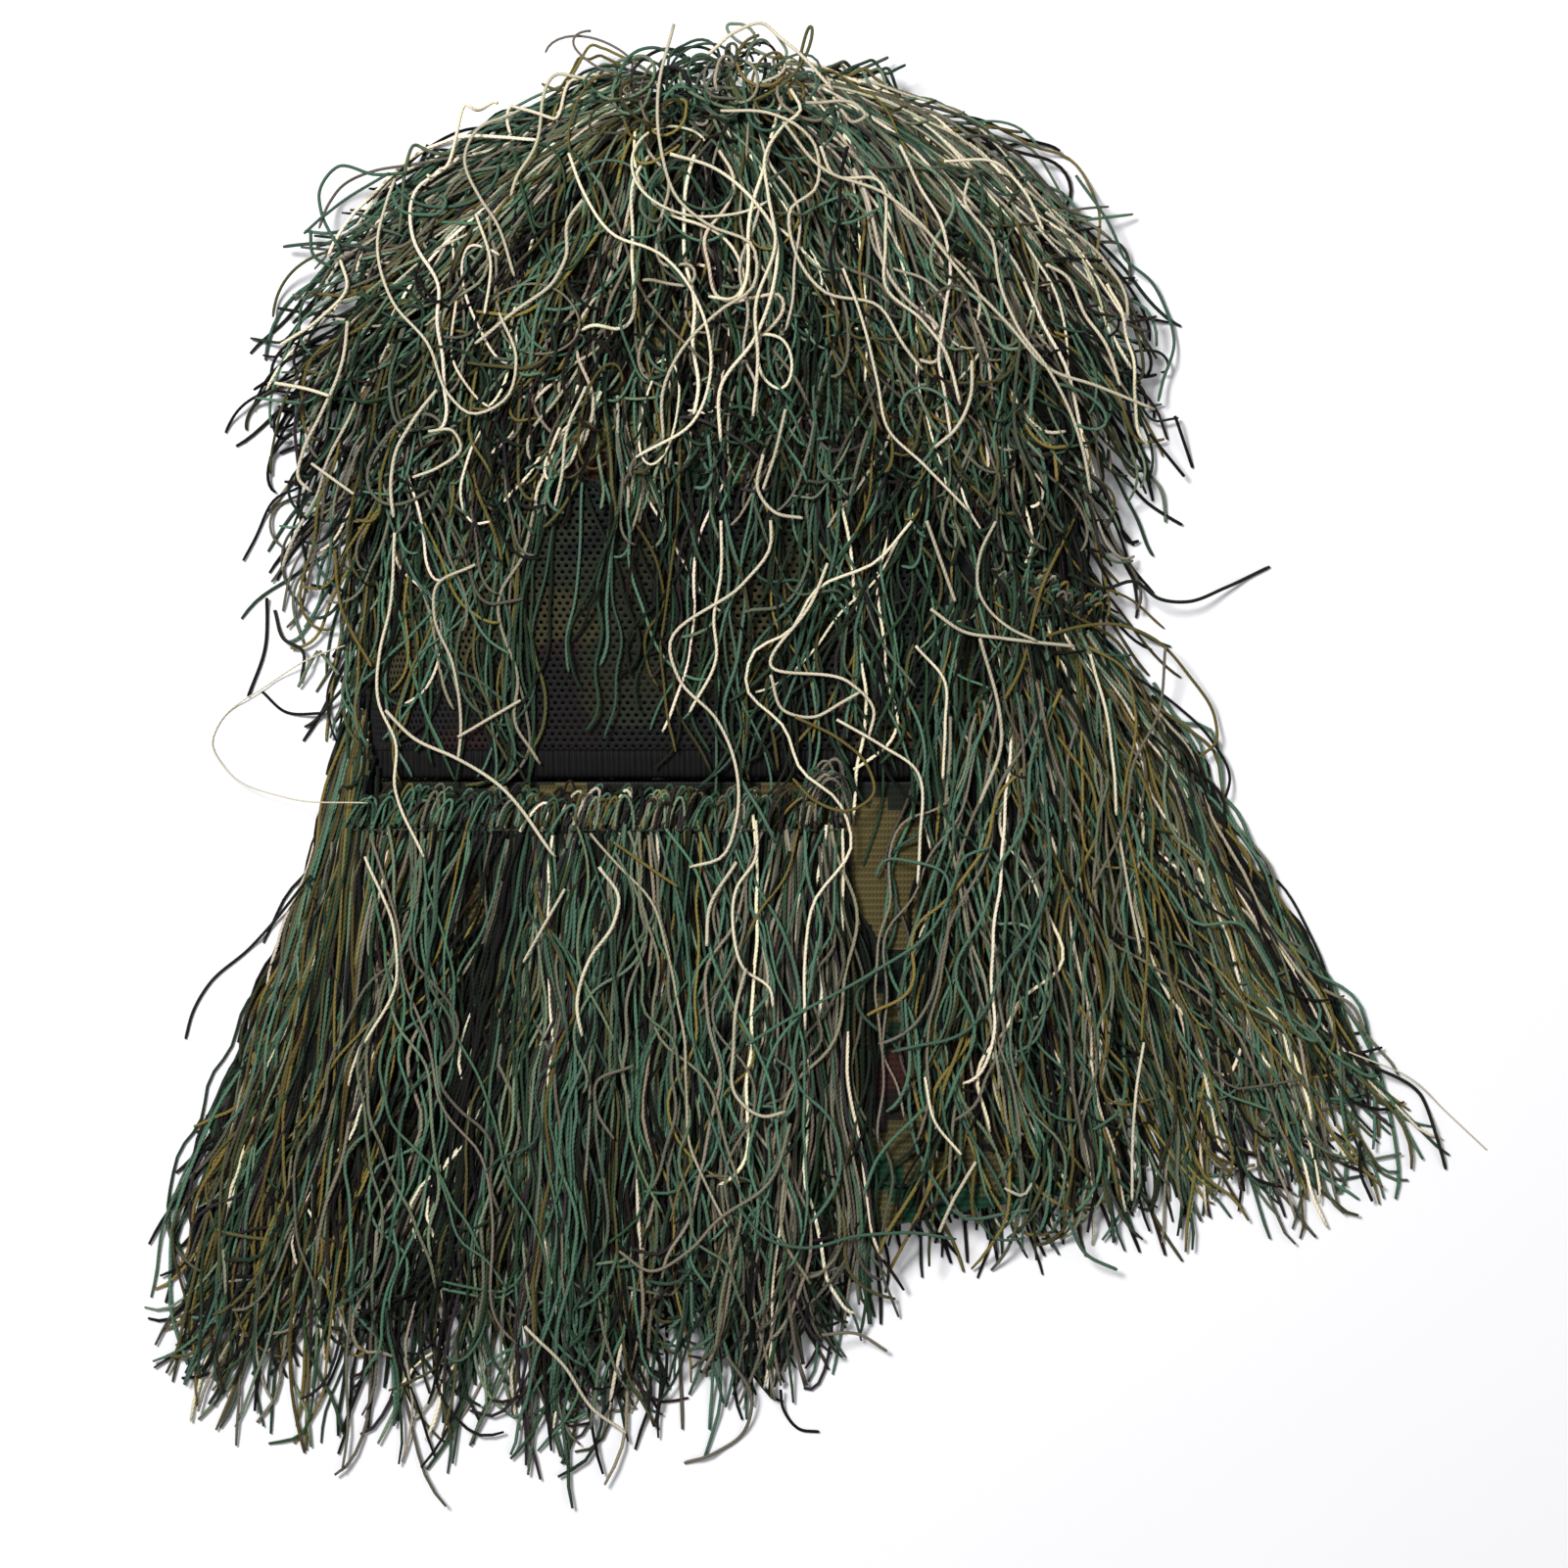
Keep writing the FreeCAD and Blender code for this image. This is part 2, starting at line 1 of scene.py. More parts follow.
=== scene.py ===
"""A ghillie hood of ribbed knit with a mesh face veil and a cape, covered with
rows of yarn. Lengths are in millimetres until a mesh is made, and angles of
yarn are in degrees from straight down the hood, positive towards +X."""
import bpy
import math
import numpy as np
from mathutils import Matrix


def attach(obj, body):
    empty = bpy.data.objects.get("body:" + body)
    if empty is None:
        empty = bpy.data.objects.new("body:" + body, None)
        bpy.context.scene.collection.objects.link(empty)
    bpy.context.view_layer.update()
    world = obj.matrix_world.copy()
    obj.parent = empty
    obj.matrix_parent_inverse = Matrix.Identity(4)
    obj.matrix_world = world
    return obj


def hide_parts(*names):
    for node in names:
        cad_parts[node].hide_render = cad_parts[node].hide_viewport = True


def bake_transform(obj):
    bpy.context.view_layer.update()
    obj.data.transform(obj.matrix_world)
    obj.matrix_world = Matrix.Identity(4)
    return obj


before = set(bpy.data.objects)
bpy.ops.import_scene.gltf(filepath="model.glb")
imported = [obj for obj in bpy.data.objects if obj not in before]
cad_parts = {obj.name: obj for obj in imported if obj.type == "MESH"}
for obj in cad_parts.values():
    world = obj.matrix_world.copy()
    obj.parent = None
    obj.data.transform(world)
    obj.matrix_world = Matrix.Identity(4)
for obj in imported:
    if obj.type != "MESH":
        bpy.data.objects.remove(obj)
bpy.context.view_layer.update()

MM = 0.001
HOOD, CAPE = "hood", "front_cape"
HOOD_CENTRE = -31.0
BACK_YARN_DEPTH = 5.0
FABRIC = 1.2
CLOTH_FLOOR = BACK_YARN_DEPTH + FABRIC
NECK_BAND_WIDTH = 12.0
BROW_LINE, BROW_TOP = 118.0, 142.0
VEIL_RIGHT = 90.0
STRIP_HALF = 45.0
CHEST_ROW = -20.0
BIB_LENGTH, BIB_RIGHT_LENGTH, HEM_WIDTH = 197.0, 165.0, 9.0
BACK_CAPE_LENGTH = 158.0
CAPE_GAP = 1.5
HOOD_TIP = 281.5
TUFT_TIP = 318.0
YARN_CEILING = 84.0
BIB_MEAN_HALF = 158.0
BACK_CAPE_HALF, BACK_NECK_HALF = 165.5, 146.0
BACK_SINK = 0.35
MAP_WIDTH, MAP_LENGTH = 400.0, 700.0

# Sections of the hood and of the front cape: place along Y, half width, rise.
HOOD_SECTIONS = np.array([
    (0, 146, 15), (60, 148, 24), (118, 149, 36), (180, 146, 42),
    (230, 122, 38), (262, 82, 27), (282, 30, 10),
], float)
CAPE_SECTIONS = np.array([(-206, 166, 11.4), (-98.5, 157, 11.9), (-1.5, 148, 12.4)], float)

# Yarn shades, as they look under white light, in sRGB from 0 to 255.
SHADES = {
    "teal": (66, 94, 76),
    "sage": (94, 108, 86),
    "pine": (36, 56, 39),
    "moss": (24, 31, 20),
    "mustard": (104, 92, 46),
    "olive": (68, 66, 38),
    "taupe": (112, 106, 90),
    "stone": (90, 87, 74),
    "plum": (42, 35, 37),
    "black": (14, 13, 12),
    "bark": (36, 24, 18),
    "cream": (204, 194, 168),
}


def linear(shade):
    """An sRGB triple from 0 to 255 as linear light."""
    c = np.asarray(shade, float) / 255
    return np.where(c <= 0.04045, c / 12.92, ((c + 0.055) / 1.055) ** 2.4)


def smooth_through(stations, values, at):
    """A cubic curve through values at stations: between two stations it is a
    Hermite cubic, whose end slopes are the mean slopes across each station."""
    slope = np.gradient(values, stations)
    k = np.clip(np.searchsorted(stations, at) - 1, 0, len(stations) - 2)
    step = stations[k + 1] - stations[k]
    t = (at - stations[k]) / step
    return (
        (2 * t**3 - 3 * t**2 + 1) * values[k]
        + (t**3 - 2 * t**2 + t) * step * slope[k]
        + (3 * t**2 - 2 * t**3) * values[k + 1]
        + (t**3 - t**2) * step * slope[k + 1]
    )


def hood_section(y):
    """Half width and rise of the hood's front at places along Y."""
    at = np.clip(y, HOOD_SECTIONS[0, 0], HOOD_SECTIONS[-1, 0])
    stations = HOOD_SECTIONS[:, 0]
    return (
        smooth_through(stations, HOOD_SECTIONS[:, 1], at),
        smooth_through(stations, HOOD_SECTIONS[:, 2], at),
    )


def cape_section(y):
    """Half width and rise of the front cape at places along Y."""
    stations = CAPE_SECTIONS[:, 0]
    return np.interp(y, stations, CAPE_SECTIONS[:, 1]), np.interp(y, stations, CAPE_SECTIONS[:, 2])


def hem_line(x):
    """Where the front cape ends: level on the left, rising to the right."""
    right = HOOD_CENTRE + CAPE_SECTIONS[0, 1]
    return np.interp(x, [HOOD_CENTRE, right], [-BIB_LENGTH, -BIB_RIGHT_LENGTH])


# ---------------------------------------------------------------- meshes


def make_piece(name, points, corners, sizes, material, body, smooth=True):
    """A mesh object from points in millimetres, the vertex of every face
    corner in one list, and the number of corners of each face."""
    mesh = bpy.data.meshes.new(name)
    mesh.vertices.add(len(points))
    mesh.vertices.foreach_set("co", (np.asarray(points, float) * MM).astype(np.float32).ravel())
    mesh.loops.add(len(corners))
    mesh.loops.foreach_set("vertex_index", np.asarray(corners, np.int32))
    mesh.polygons.add(len(sizes))
    starts = np.concatenate(([0], np.cumsum(sizes)[:-1])).astype(np.int32)
    mesh.polygons.foreach_set("loop_start", starts)
    mesh.polygons.foreach_set("use_smooth", np.full(len(sizes), smooth))
    mesh.update(calc_edges=True)
    mesh.validate()
    mesh.materials.append(material)
    piece = bpy.data.objects.new(name, mesh)
    bpy.context.scene.collection.objects.link(piece)
    if body:
        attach(piece, body)
    return piece


def set_map(piece, name, places):
    """A UV map with one place per face corner."""
    layer = piece.data.uv_layers.new(name=name, do_init=False)
    layer.uv.foreach_set("vector", np.asarray(places, np.float32).ravel())


def map_places(along, y):
    """Places on a map from millimetres along the cloth and along Y: each is
    divided by the map's size and counted from its middle."""
    return np.stack([along / MAP_WIDTH + 0.5, y / MAP_LENGTH + 0.5], -1)


def grid_corners(rows, columns, closed=False):
    """Corners of the quads of a grid whose vertices run row by row. closed
    joins the last column to the first."""
    across = np.arange(columns if closed else columns - 1)
    i, j = np.meshgrid(np.arange(rows - 1), across, indexing="ij")
    after = (j + 1) % columns
    this, below = i * columns, (i + 1) * columns
    return np.stack([this + j, this + after, below + after, below + j], -1).reshape(-1, 4)


def cloth_sheet(name, x, y, z, material, body, thickness=FABRIC):
    """One layer of cloth from a grid of places, thickened downwards. Its map
    measures along the cloth's arc, so the knit follows the cloth."""
    rows, columns = x.shape
    points = np.stack([x, y, z], -1).reshape(-1, 3)
    quads = grid_corners(rows, columns)
    piece = make_piece(name, points, quads.ravel(), np.full(len(quads), 4), material, body)
    along = np.zeros(x.shape)
    along[:, 1:] = np.cumsum(np.hypot(np.diff(x, axis=1), np.diff(z, axis=1)), axis=1)
    along += x[:, :1]
    flat = map_places(along, np.broadcast_to(y, x.shape)).reshape(-1, 2)
    set_map(piece, "OFBake", flat[quads.ravel()])
    solid = piece.modifiers.new("thickness", "SOLIDIFY")
    solid.thickness = thickness * MM
    solid.offset = -1
    return piece


# ---------------------------------------------------------------- materials


def node(tree, kind, **settings):
    made = tree.nodes.new(kind)
    for name, value in settings.items():
        setattr(made, name, value)
    return made


def new_group(name, inputs, outputs):
    """A shader node group with named inputs and outputs; inputs hold their
    default, and a three-number default makes a colour or vector socket."""
    group = bpy.data.node_groups.new(name, "ShaderNodeTree")
    for label, kind, default in inputs:
        socket = group.interface.new_socket(label, in_out="INPUT", socket_type=kind)
        if default is not None:
            socket.default_value = default
    for label, kind in outputs:
        group.interface.new_socket(label, in_out="OUTPUT", socket_type=kind)
    return group, node(group, "NodeGroupInput"), node(group, "NodeGroupOutput")


def calc(tree, operation, *values, clamp=False):
    """A Math node; each value is a number or a socket."""
    made = node(tree, "ShaderNodeMath", operation=operation, use_clamp=clamp)
    for k, value in enumerate(values):
        if hasattr(value, "links"):
            tree.links.new(value, made.inputs[k])
        else:
            made.inputs[k].default_value = value
    return made.outputs[0]


def mix_colours(tree, amount, first, second, blend="MIX"):
    made = node(tree, "ShaderNodeMix", data_type="RGBA", blend_type=blend)
    for socket, value in ((made.inputs[0], amount), (made.inputs[6], first), (made.inputs[7], second)):
        if hasattr(value, "links"):
            tree.links.new(value, socket)
        else:
            socket.default_value = value
    return made.outputs[2]


def rgba(shade):
    return (*linear(shade), 1.0)


def noise(tree, vector, scale, detail=2.0, roughness=0.5):
    made = node(tree, "ShaderNodeTexNoise")
    made.inputs["Scale"].default_value = scale
    made.inputs["Detail"].default_value = detail
    made.inputs["Roughness"].default_value = roughness
    tree.links.new(vector, made.inputs["Vector"])
    return made.outputs["Fac"]


def camo_group():
    """Camouflage print: four dyes, each laid over the last where a stretched
    noise passes its level. The knit carries the print in courses, so the
    noise is read at the middle of each course and blobs end in level steps."""
    group, inside, outside = new_group(
        "camo_print",
        [("Vector", "NodeSocketVector", None), ("Course", "NodeSocketFloat", 0.002)],
        [("Color", "NodeSocketColor")],
    )
    split = node(group, "ShaderNodeSeparateXYZ")
    group.links.new(inside.outputs["Vector"], split.inputs[0])
    rows = calc(group, "SNAP", split.outputs[1], inside.outputs["Course"])
    joined = node(group, "ShaderNodeCombineXYZ")
    group.links.new(calc(group, "MULTIPLY", split.outputs[0], 0.55), joined.inputs[0])
    group.links.new(rows, joined.inputs[1])
    colour = rgba((84, 78, 44))
    for shade, scale, level, shift in (
        ((48, 54, 30), 17, 0.50, 0.0),
        ((14, 40, 26), 14, 0.545, 3.1),
        ((48, 22, 18), 19, 0.58, 7.7),
        ((12, 14, 14), 21, 0.57, 12.4),
    ):
        moved = node(group, "ShaderNodeVectorMath", operation="ADD")
        group.links.new(joined.outputs[0], moved.inputs[0])
        moved.inputs[1].default_value = (shift, shift * 0.7, shift)
        blob = noise(group, moved.outputs[0], scale, 1.5, 0.45)
        mask = calc(group, "MULTIPLY", calc(group, "SUBTRACT", blob, level), 60, clamp=True)
        colour = mix_colours(group, mask, colour, rgba(shade))
    group.links.new(colour, outside.inputs[0])
    return group


def band_group():
    """Camouflage of the cape: level bands along Y, whose edges jump by a few
    courses where a coarse noise along X steps. The value is Y in metres plus
    the jump, and each band starts at one of the listed values."""
    group, inside, outside = new_group(
        "cape_bands", [("Vector", "NodeSocketVector", None), ("Course", "NodeSocketFloat", 0.0026)],
        [("Color", "NodeSocketColor")],
    )
    split = node(group, "ShaderNodeSeparateXYZ")
    group.links.new(inside.outputs["Vector"], split.inputs[0])
    columns = calc(group, "SNAP", split.outputs[0], 0.0065)
    joined = node(group, "ShaderNodeCombineXYZ")
    group.links.new(columns, joined.inputs[0])
    group.links.new(calc(group, "SNAP", split.outputs[1], 0.05), joined.inputs[1])
    uneven = calc(group, "SUBTRACT", noise(group, joined.outputs[0], 26, 1.0), 0.5)
    jump = calc(group, "MULTIPLY", uneven, 0.07)
    value = calc(group, "ADD", calc(group, "SNAP", split.outputs[1], inside.outputs["Course"]), jump)
    ramp = node(group, "ShaderNodeValToRGB")
    ramp.color_ramp.interpolation = "CONSTANT"
    group.links.new(calc(group, "DIVIDE", calc(group, "ADD", value, 0.21), 0.21), ramp.inputs[0])
    bands = (
        (-0.210, (76, 70, 42)), (-0.180, (12, 52, 34)), (-0.164, (68, 62, 35)), (-0.146, (22, 18, 14)),
        (-0.132, (50, 22, 18)), (-0.114, (14, 38, 24)), (-0.104, (72, 65, 37)), (-0.082, (12, 22, 18)),
        (-0.058, (80, 71, 40)), (-0.012, (22, 26, 18)),
    )
    stops = ramp.color_ramp.elements
    stops[0].position, stops[0].color = 0.0, rgba(bands[0][1])
    stops.remove(stops[1])
    for start, shade in bands[1:]:
        stop = stops.new((start + 0.21) / 0.21)
        stop.color = rgba(shade)
    group.links.new(ramp.outputs[0], outside.inputs[0])
    return group


def knit_group():
    """Ribbed knit: V-shaped stitches in courses across the cloth. Height is
    the product of a rib wave along the courses' pitch and a stitch wave
    slanted both ways; Shade darkens the grooves."""
    group, inside, outside = new_group(
        "rib_knit",
        [
            ("Vector", "NodeSocketVector", None),
            ("Rib", "NodeSocketFloat", 0.0026),
            ("Stitch", "NodeSocketFloat", 0.0016),
        ],
        [("Height", "NodeSocketFloat"), ("Shade", "NodeSocketFloat")],
    )
    split = node(group, "ShaderNodeSeparateXYZ")
    group.links.new(inside.outputs["Vector"], split.inputs[0])
    turn = 2 * math.pi
    ribs = calc(group, "DIVIDE", split.outputs[1], inside.outputs["Rib"])
    rib_phase = calc(group, "MULTIPLY", ribs, turn)
    rib = calc(group, "MULTIPLY_ADD", calc(group, "COSINE", rib_phase), 0.5, 0.5)
    stitches = calc(group, "DIVIDE", split.outputs[0], inside.outputs["Stitch"])
    stitch_phase = calc(group, "MULTIPLY", stitches, turn)
    slant = calc(group, "MULTIPLY", calc(group, "SINE", rib_phase), 1.3)
    slanted = calc(group, "SINE", calc(group, "ADD", stitch_phase, slant))
    stitch = calc(group, "MULTIPLY_ADD", slanted, 0.5, 0.5)
    height = calc(group, "ADD", rib, calc(group, "MULTIPLY", stitch, 0.45))
    shade = calc(group, "MULTIPLY_ADD", height, 0.55, 0.45, clamp=True)
    group.links.new(height, outside.inputs[0])
    group.links.new(shade, outside.inputs[1])
    return group


def twist_group():
    """Plied yarn: a height wave that runs slantwise round the strand, and a
    mottle of lighter and darker fibre along it. The map holds metres along
    the strand and turns round it."""
    group, inside, outside = new_group(
        "yarn_twist",
        [("Vector", "NodeSocketVector", None), ("Pitch", "NodeSocketFloat", 0.0042)],
        [("Height", "NodeSocketFloat"), ("Mottle", "NodeSocketFloat")],
    )
    split = node(group, "ShaderNodeSeparateXYZ")
    group.links.new(inside.outputs["Vector"], split.inputs[0])
    along = calc(group, "DIVIDE", split.outputs[0], inside.outputs["Pitch"])
    phase = calc(group, "MULTIPLY", calc(group, "ADD", along, split.outputs[1]), 2 * math.pi)
    ply = calc(group, "ABSOLUTE", calc(group, "SINE", phase))
    fibre = noise(group, inside.outputs["Vector"], 700, 2.0, 0.7)
    group.links.new(calc(group, "MULTIPLY_ADD", fibre, 0.35, ply), outside.inputs[0])
    group.links.new(noise(group, inside.outputs["Vector"], 90, 3.0, 0.6), outside.inputs[1])
    return group


def base_material(name, roughness, sheen=0.0):
    material = bpy.data.materials.new(name)
    material.use_nodes = True
    tree = material.node_tree
    shader = tree.nodes["Principled BSDF"]
    shader.inputs["Roughness"].default_value = roughness
    shader.inputs["Specular IOR Level"].default_value = 0.12
    shader.inputs["Sheen Weight"].default_value = sheen
    shader.inputs["Sheen Roughness"].default_value = 0.5
    return material, tree, shader


def add_bump(tree, shader, height, distance, strength=1.0):
    bump = node(tree, "ShaderNodeBump")
    bump.inputs["Distance"].default_value = distance
    bump.inputs["Strength"].default_value = strength
    tree.links.new(height, bump.inputs["Height"])
    tree.links.new(bump.outputs["Normal"], shader.inputs["Normal"])


def cloth_metres(tree, start):
    """The cloth's map in metres, moved to start."""
    place = node(tree, "ShaderNodeUVMap", uv_map="OFBake")
    metres = node(tree, "ShaderNodeMapping")
    metres.inputs["Scale"].default_value = (MAP_WIDTH * MM, MAP_LENGTH * MM, 1.0)
    metres.inputs["Location"].default_value = start
    tree.links.new(place.outputs[0], metres.inputs[0])
    return metres.outputs[0]


def placed_group(tree, group, vector):
    """A shared node group in a material, read at a vector."""
    made = node(tree, "ShaderNodeGroup")
    made.node_tree = group
    tree.links.new(vector, made.inputs["Vector"])
    return made


def yarn_material(twist):
    material, tree, shader = base_material("spun_yarn", 0.8, 0.02)
    dye_and_shade = node(tree, "ShaderNodeAttribute", attribute_name="dye_and_shade")
    place = node(tree, "ShaderNodeUVMap", uv_map="strand")
    ply = placed_group(tree, twist, place.outputs[0])
    tone = calc(tree, "MULTIPLY_ADD", ply.outputs["Mottle"], 0.9, 0.55)
    # Painted shade: the colour darkens where the ply twist is low, between the plies.
    painted_groove_shade = calc(tree, "MULTIPLY_ADD", ply.outputs["Height"], 0.22, 0.8)
    grey = node(tree, "ShaderNodeCombineColor")
    for k in range(3):
        tree.links.new(calc(tree, "MULTIPLY", tone, painted_groove_shade), grey.inputs[k])
    colour = mix_colours(tree, 1.0, dye_and_shade.outputs["Color"], grey.outputs[0], "MULTIPLY")
    tree.links.new(colour, shader.inputs["Base Color"])
    add_bump(tree, shader, ply.outputs["Height"], 0.0002)
    return material


def knit_material(camo, knit, name="camo_knit"):
    material, tree, shader = base_material(name, 0.85, 0.1)
    metres = cloth_metres(tree, (-0.2, -0.35, 0.0))
    dyes = placed_group(tree, camo, metres)
    stitches = placed_group(tree, knit, metres)
    grey = node(tree, "ShaderNodeCombineColor")
    for k in range(3):
        tree.links.new(stitches.outputs["Shade"], grey.inputs[k])
    colour = mix_colours(tree, 1.0, dyes.outputs[0], grey.outputs[0], "MULTIPLY")
    tree.links.new(colour, shader.inputs["Base Color"])
    add_bump(tree, shader, stitches.outputs["Height"], 0.0006)
    return material


def veil_material(camo):
    material, tree, shader = base_material("veil_net", 0.6, 0.15)
    metres = cloth_metres(tree, (0.31, 0.17, 0.0))
    dyes = placed_group(tree, camo, metres)
    dyes.inputs["Course"].default_value = 0.0008
    shade = mix_colours(tree, 1.0, dyes.outputs[0], (0.27, 0.27, 0.27, 1), "MULTIPLY")
    tree.links.new(shade, shader.inputs["Base Color"])
    thread = noise(tree, metres, 2500, 2.0, 0.6)
    add_bump(tree, shader, thread, 0.0002)
    return material


def elastic_material():
    material, tree, shader = base_material("black_elastic", 0.7)
    place = node(tree, "ShaderNodeTexCoord")
    wave = node(tree, "ShaderNodeTexWave", wave_type="BANDS", bands_direction="X")
    wave.inputs["Scale"].default_value = 140
    wave.inputs["Distortion"].default_value = 0.6
    tree.links.new(place.outputs["Object"], wave.inputs["Vector"])
    # Painted shade: the colour is darker where the wave's bump is low, in the grooves of the rib.
    colour = mix_colours(tree, wave.outputs["Fac"], rgba((3, 3, 4)), rgba((12, 11, 12)))
    tree.links.new(colour, shader.inputs["Base Color"])
    add_bump(tree, shader, wave.outputs["Fac"], 0.0004)
    return material


def thread_material():
    material, tree, shader = base_material("sewing_thread", 0.5, 0.1)
    place = node(tree, "ShaderNodeTexCoord")
    tone = noise(tree, place.outputs["Object"], 900, 2.0)
    tree.links.new(
        mix_colours(tree, tone, rgba((16, 18, 14)), rgba((58, 66, 50))), shader.inputs["Base Color"],
    )
    add_bump(tree, shader, tone, 0.0002)
    return material


def table_material():
    material, tree, shader = base_material("pale_table", 0.9)
    place = node(tree, "ShaderNodeTexCoord")
    tone = noise(tree, place.outputs["Object"], 3.0, 2.0)
    tree.links.new(
        mix_colours(tree, tone, (0.67, 0.67, 0.685, 1), (0.69, 0.69, 0.705, 1)), shader.inputs["Base Color"],
    )
    return material


camo_print = camo_group()
rib_knit = knit_group()
YARN = yarn_material(twist_group())
KNIT = knit_material(camo_print, rib_knit)
CAPE_KNIT = knit_material(band_group(), rib_knit, "cape_knit")
NET = veil_material(camo_print)
ELASTIC = elastic_material()
THREAD = thread_material()

# ---------------------------------------------------------------- cloth


def hood_place(angle, y):
    """A point on the hood's front: an ellipse across it, angle 0 on the left."""
    wide, rise = hood_section(y)
    return HOOD_CENTRE - wide * np.cos(angle), CLOTH_FLOOR + rise * np.sin(angle)


def creases(x, y, depth):
    """Shallow creases: three slanted sine waves added up."""
    return depth * (
        0.5 * np.sin(x / 11.0 + y / 23.0)
        + 0.35 * np.sin(x / 6.3 - y / 15.0 + 1.3)
        + 0.25 * np.sin(y / 5.1 + x / 31.0 + 0.4)
    )


def hood_panel(name, node_name, x_ends, y_ends, material, pitch=3.0, depth=0.5):
    """A panel of the hood's front between two places along X and two along Y."""
    rows = int((y_ends[1] - y_ends[0]) / pitch) + 2
    y = np.linspace(y_ends[0], y_ends[1], rows)[:, None]
    wide, _ = hood_section(y)
    ends = [np.arccos(np.clip((HOOD_CENTRE - end) / wide, -1, 1)) for end in x_ends]
    columns = int(abs(x_ends[1] - x_ends[0]) / pitch) + 2
    share = np.linspace(0, 1, columns)[None, :]
    angle = ends[0] + (ends[1] - ends[0]) * share
    x, z = hood_place(angle, y + 0 * angle)
    z = z + creases(x, y, depth) * np.sin(angle)
    y = y + 0 * angle
    piece = cloth_sheet(name, x, y, z, material, HOOD)
    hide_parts(node_name)
    return piece


PAST = 400.0
left_panel = hood_panel(
    "crown_left_cloth", "crown_left_panel", (-PAST, HOOD_CENTRE - STRIP_HALF), (BROW_TOP, HOOD_TIP), KNIT,
)
middle_panel = hood_panel(
    "crown_strip_cloth",
    "crown_center_panel",
    (HOOD_CENTRE - STRIP_HALF, HOOD_CENTRE + STRIP_HALF),
    (BROW_TOP, HOOD_TIP),
    KNIT,
)
right_panel = hood_panel(
    "crown_right_cloth", "crown_right_panel", (HOOD_CENTRE + STRIP_HALF, PAST), (BROW_TOP, HOOD_TIP), KNIT,
)
brow_band = hood_panel(
    "brow_band_rib", "brow_band", (-PAST, PAST), (BROW_LINE, BROW_TOP), KNIT, 2.0, 0.7,
)
cheek = hood_panel(
    "cheek_cloth",
    "cheek_panel_right",
    (HOOD_CENTRE + VEIL_RIGHT, PAST),
    (NECK_BAND_WIDTH, BROW_LINE),
    KNIT,
    2.5,
    0.9,
)


def veil():
    """Net of six-sided holes. Each hole's ring of six quads runs from the
    cell's edge to the hole's edge, and neighbouring cells share their edge."""
    pitch, hole = 2.9, 0.52
    row_step = pitch * math.sqrt(3) / 2
    y0, y1 = NECK_BAND_WIDTH, BROW_LINE
    rows = int((y1 - y0) / row_step)
    columns = int(270 / pitch)
    i, j = np.meshgrid(np.arange(rows), np.arange(columns), indexing="ij")
    centre_u = (j + 0.5 * (i % 2)) * pitch
    centre_v = y0 + (i + 0.5) * (y1 - y0) / rows
    corner = np.radians(np.arange(6) * 60 + 30)
    reach = pitch / math.sqrt(3)
    stretch = (y1 - y0) / rows / row_step
    ring_u = centre_u[..., None, None] + np.cos(corner) * np.array([[1.0], [hole]]) * reach
    ring_v = centre_v[..., None, None] + np.sin(corner) * np.array([[1.0], [hole]]) * reach * stretch
    # The net starts at the left fold, and its last column ends at the seam.
    y = np.clip(ring_v, y0, y1)
    wide, rise = hood_section(y)
    end = np.arccos(-VEIL_RIGHT / wide)
    across = np.clip(ring_u / (columns * pitch - pitch / 2), 0, 1)
    angle = end * across
    x = HOOD_CENTRE - wide * np.cos(angle)
    z = CLOTH_FLOOR + rise * np.sin(angle) + creases(x, y, 0.8) * np.sin(angle)
    points = np.stack([x, y, z], -1).reshape(-1, 3)
    base = (i * columns + j)[..., None] * 12
    k = np.arange(6)
    after = (k + 1) % 6
    quads = np.stack([base + k, base + after, base + 6 + after, base + 6 + k], -1).reshape(-1, 4)
    piece = make_piece("face_veil_net", points, quads.ravel(), np.full(len(quads), 4), NET, HOOD)
    flat = map_places(points[:, 0], points[:, 1])
    set_map(piece, "OFBake", flat[quads.ravel()])
    weld = piece.modifiers.new("shared edges", "WELD")
    weld.merge_threshold = 0.02 * MM
    solid = piece.modifiers.new("thread", "SOLIDIFY")
    solid.thickness = 0.55 * MM
    solid.offset = -1
    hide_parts("face_veil")
    return piece


veil_net = veil()


def neck_elastic():
    """The band: a closed loop over the front and flat behind, gathered into
    fine folds that run along the hood."""
    turns = 520
    turn = np.linspace(0, 2 * np.pi, turns, endpoint=False)[None, :]
    y = np.linspace(0.2, NECK_BAND_WIDTH, 9)[:, None]
    wide, rise = hood_section(y)
    front = np.sin(turn) > 0
    gather = 0.35 * np.sin(turn * 130) + 0.2 * np.sin(turn * 53 + 1)
    edge = 1 - ((y - NECK_BAND_WIDTH / 2) / (NECK_BAND_WIDTH / 2)) ** 4
    bulge = 1.0 * edge + gather * edge
    x = HOOD_CENTRE - (wide + 0.5) * np.cos(turn)
    z = np.where(front, CLOTH_FLOOR + (rise + bulge) * np.sin(turn), CLOTH_FLOOR - 0.3 + 0 * y)
    y = y + 0 * x
    points = np.stack([x, y, z], -1).reshape(-1, 3)
    quads = grid_corners(9, turns, closed=True)
    piece = make_piece(
        "neck_elastic", points, quads.ravel(), np.full(len(quads), 4), ELASTIC, HOOD,
    )
    solid = piece.modifiers.new("thickness", "SOLIDIFY")
    solid.thickness = 0.9 * MM
    solid.offset = -1
    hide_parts("neck_band")
    return piece


neck_band = neck_elastic()


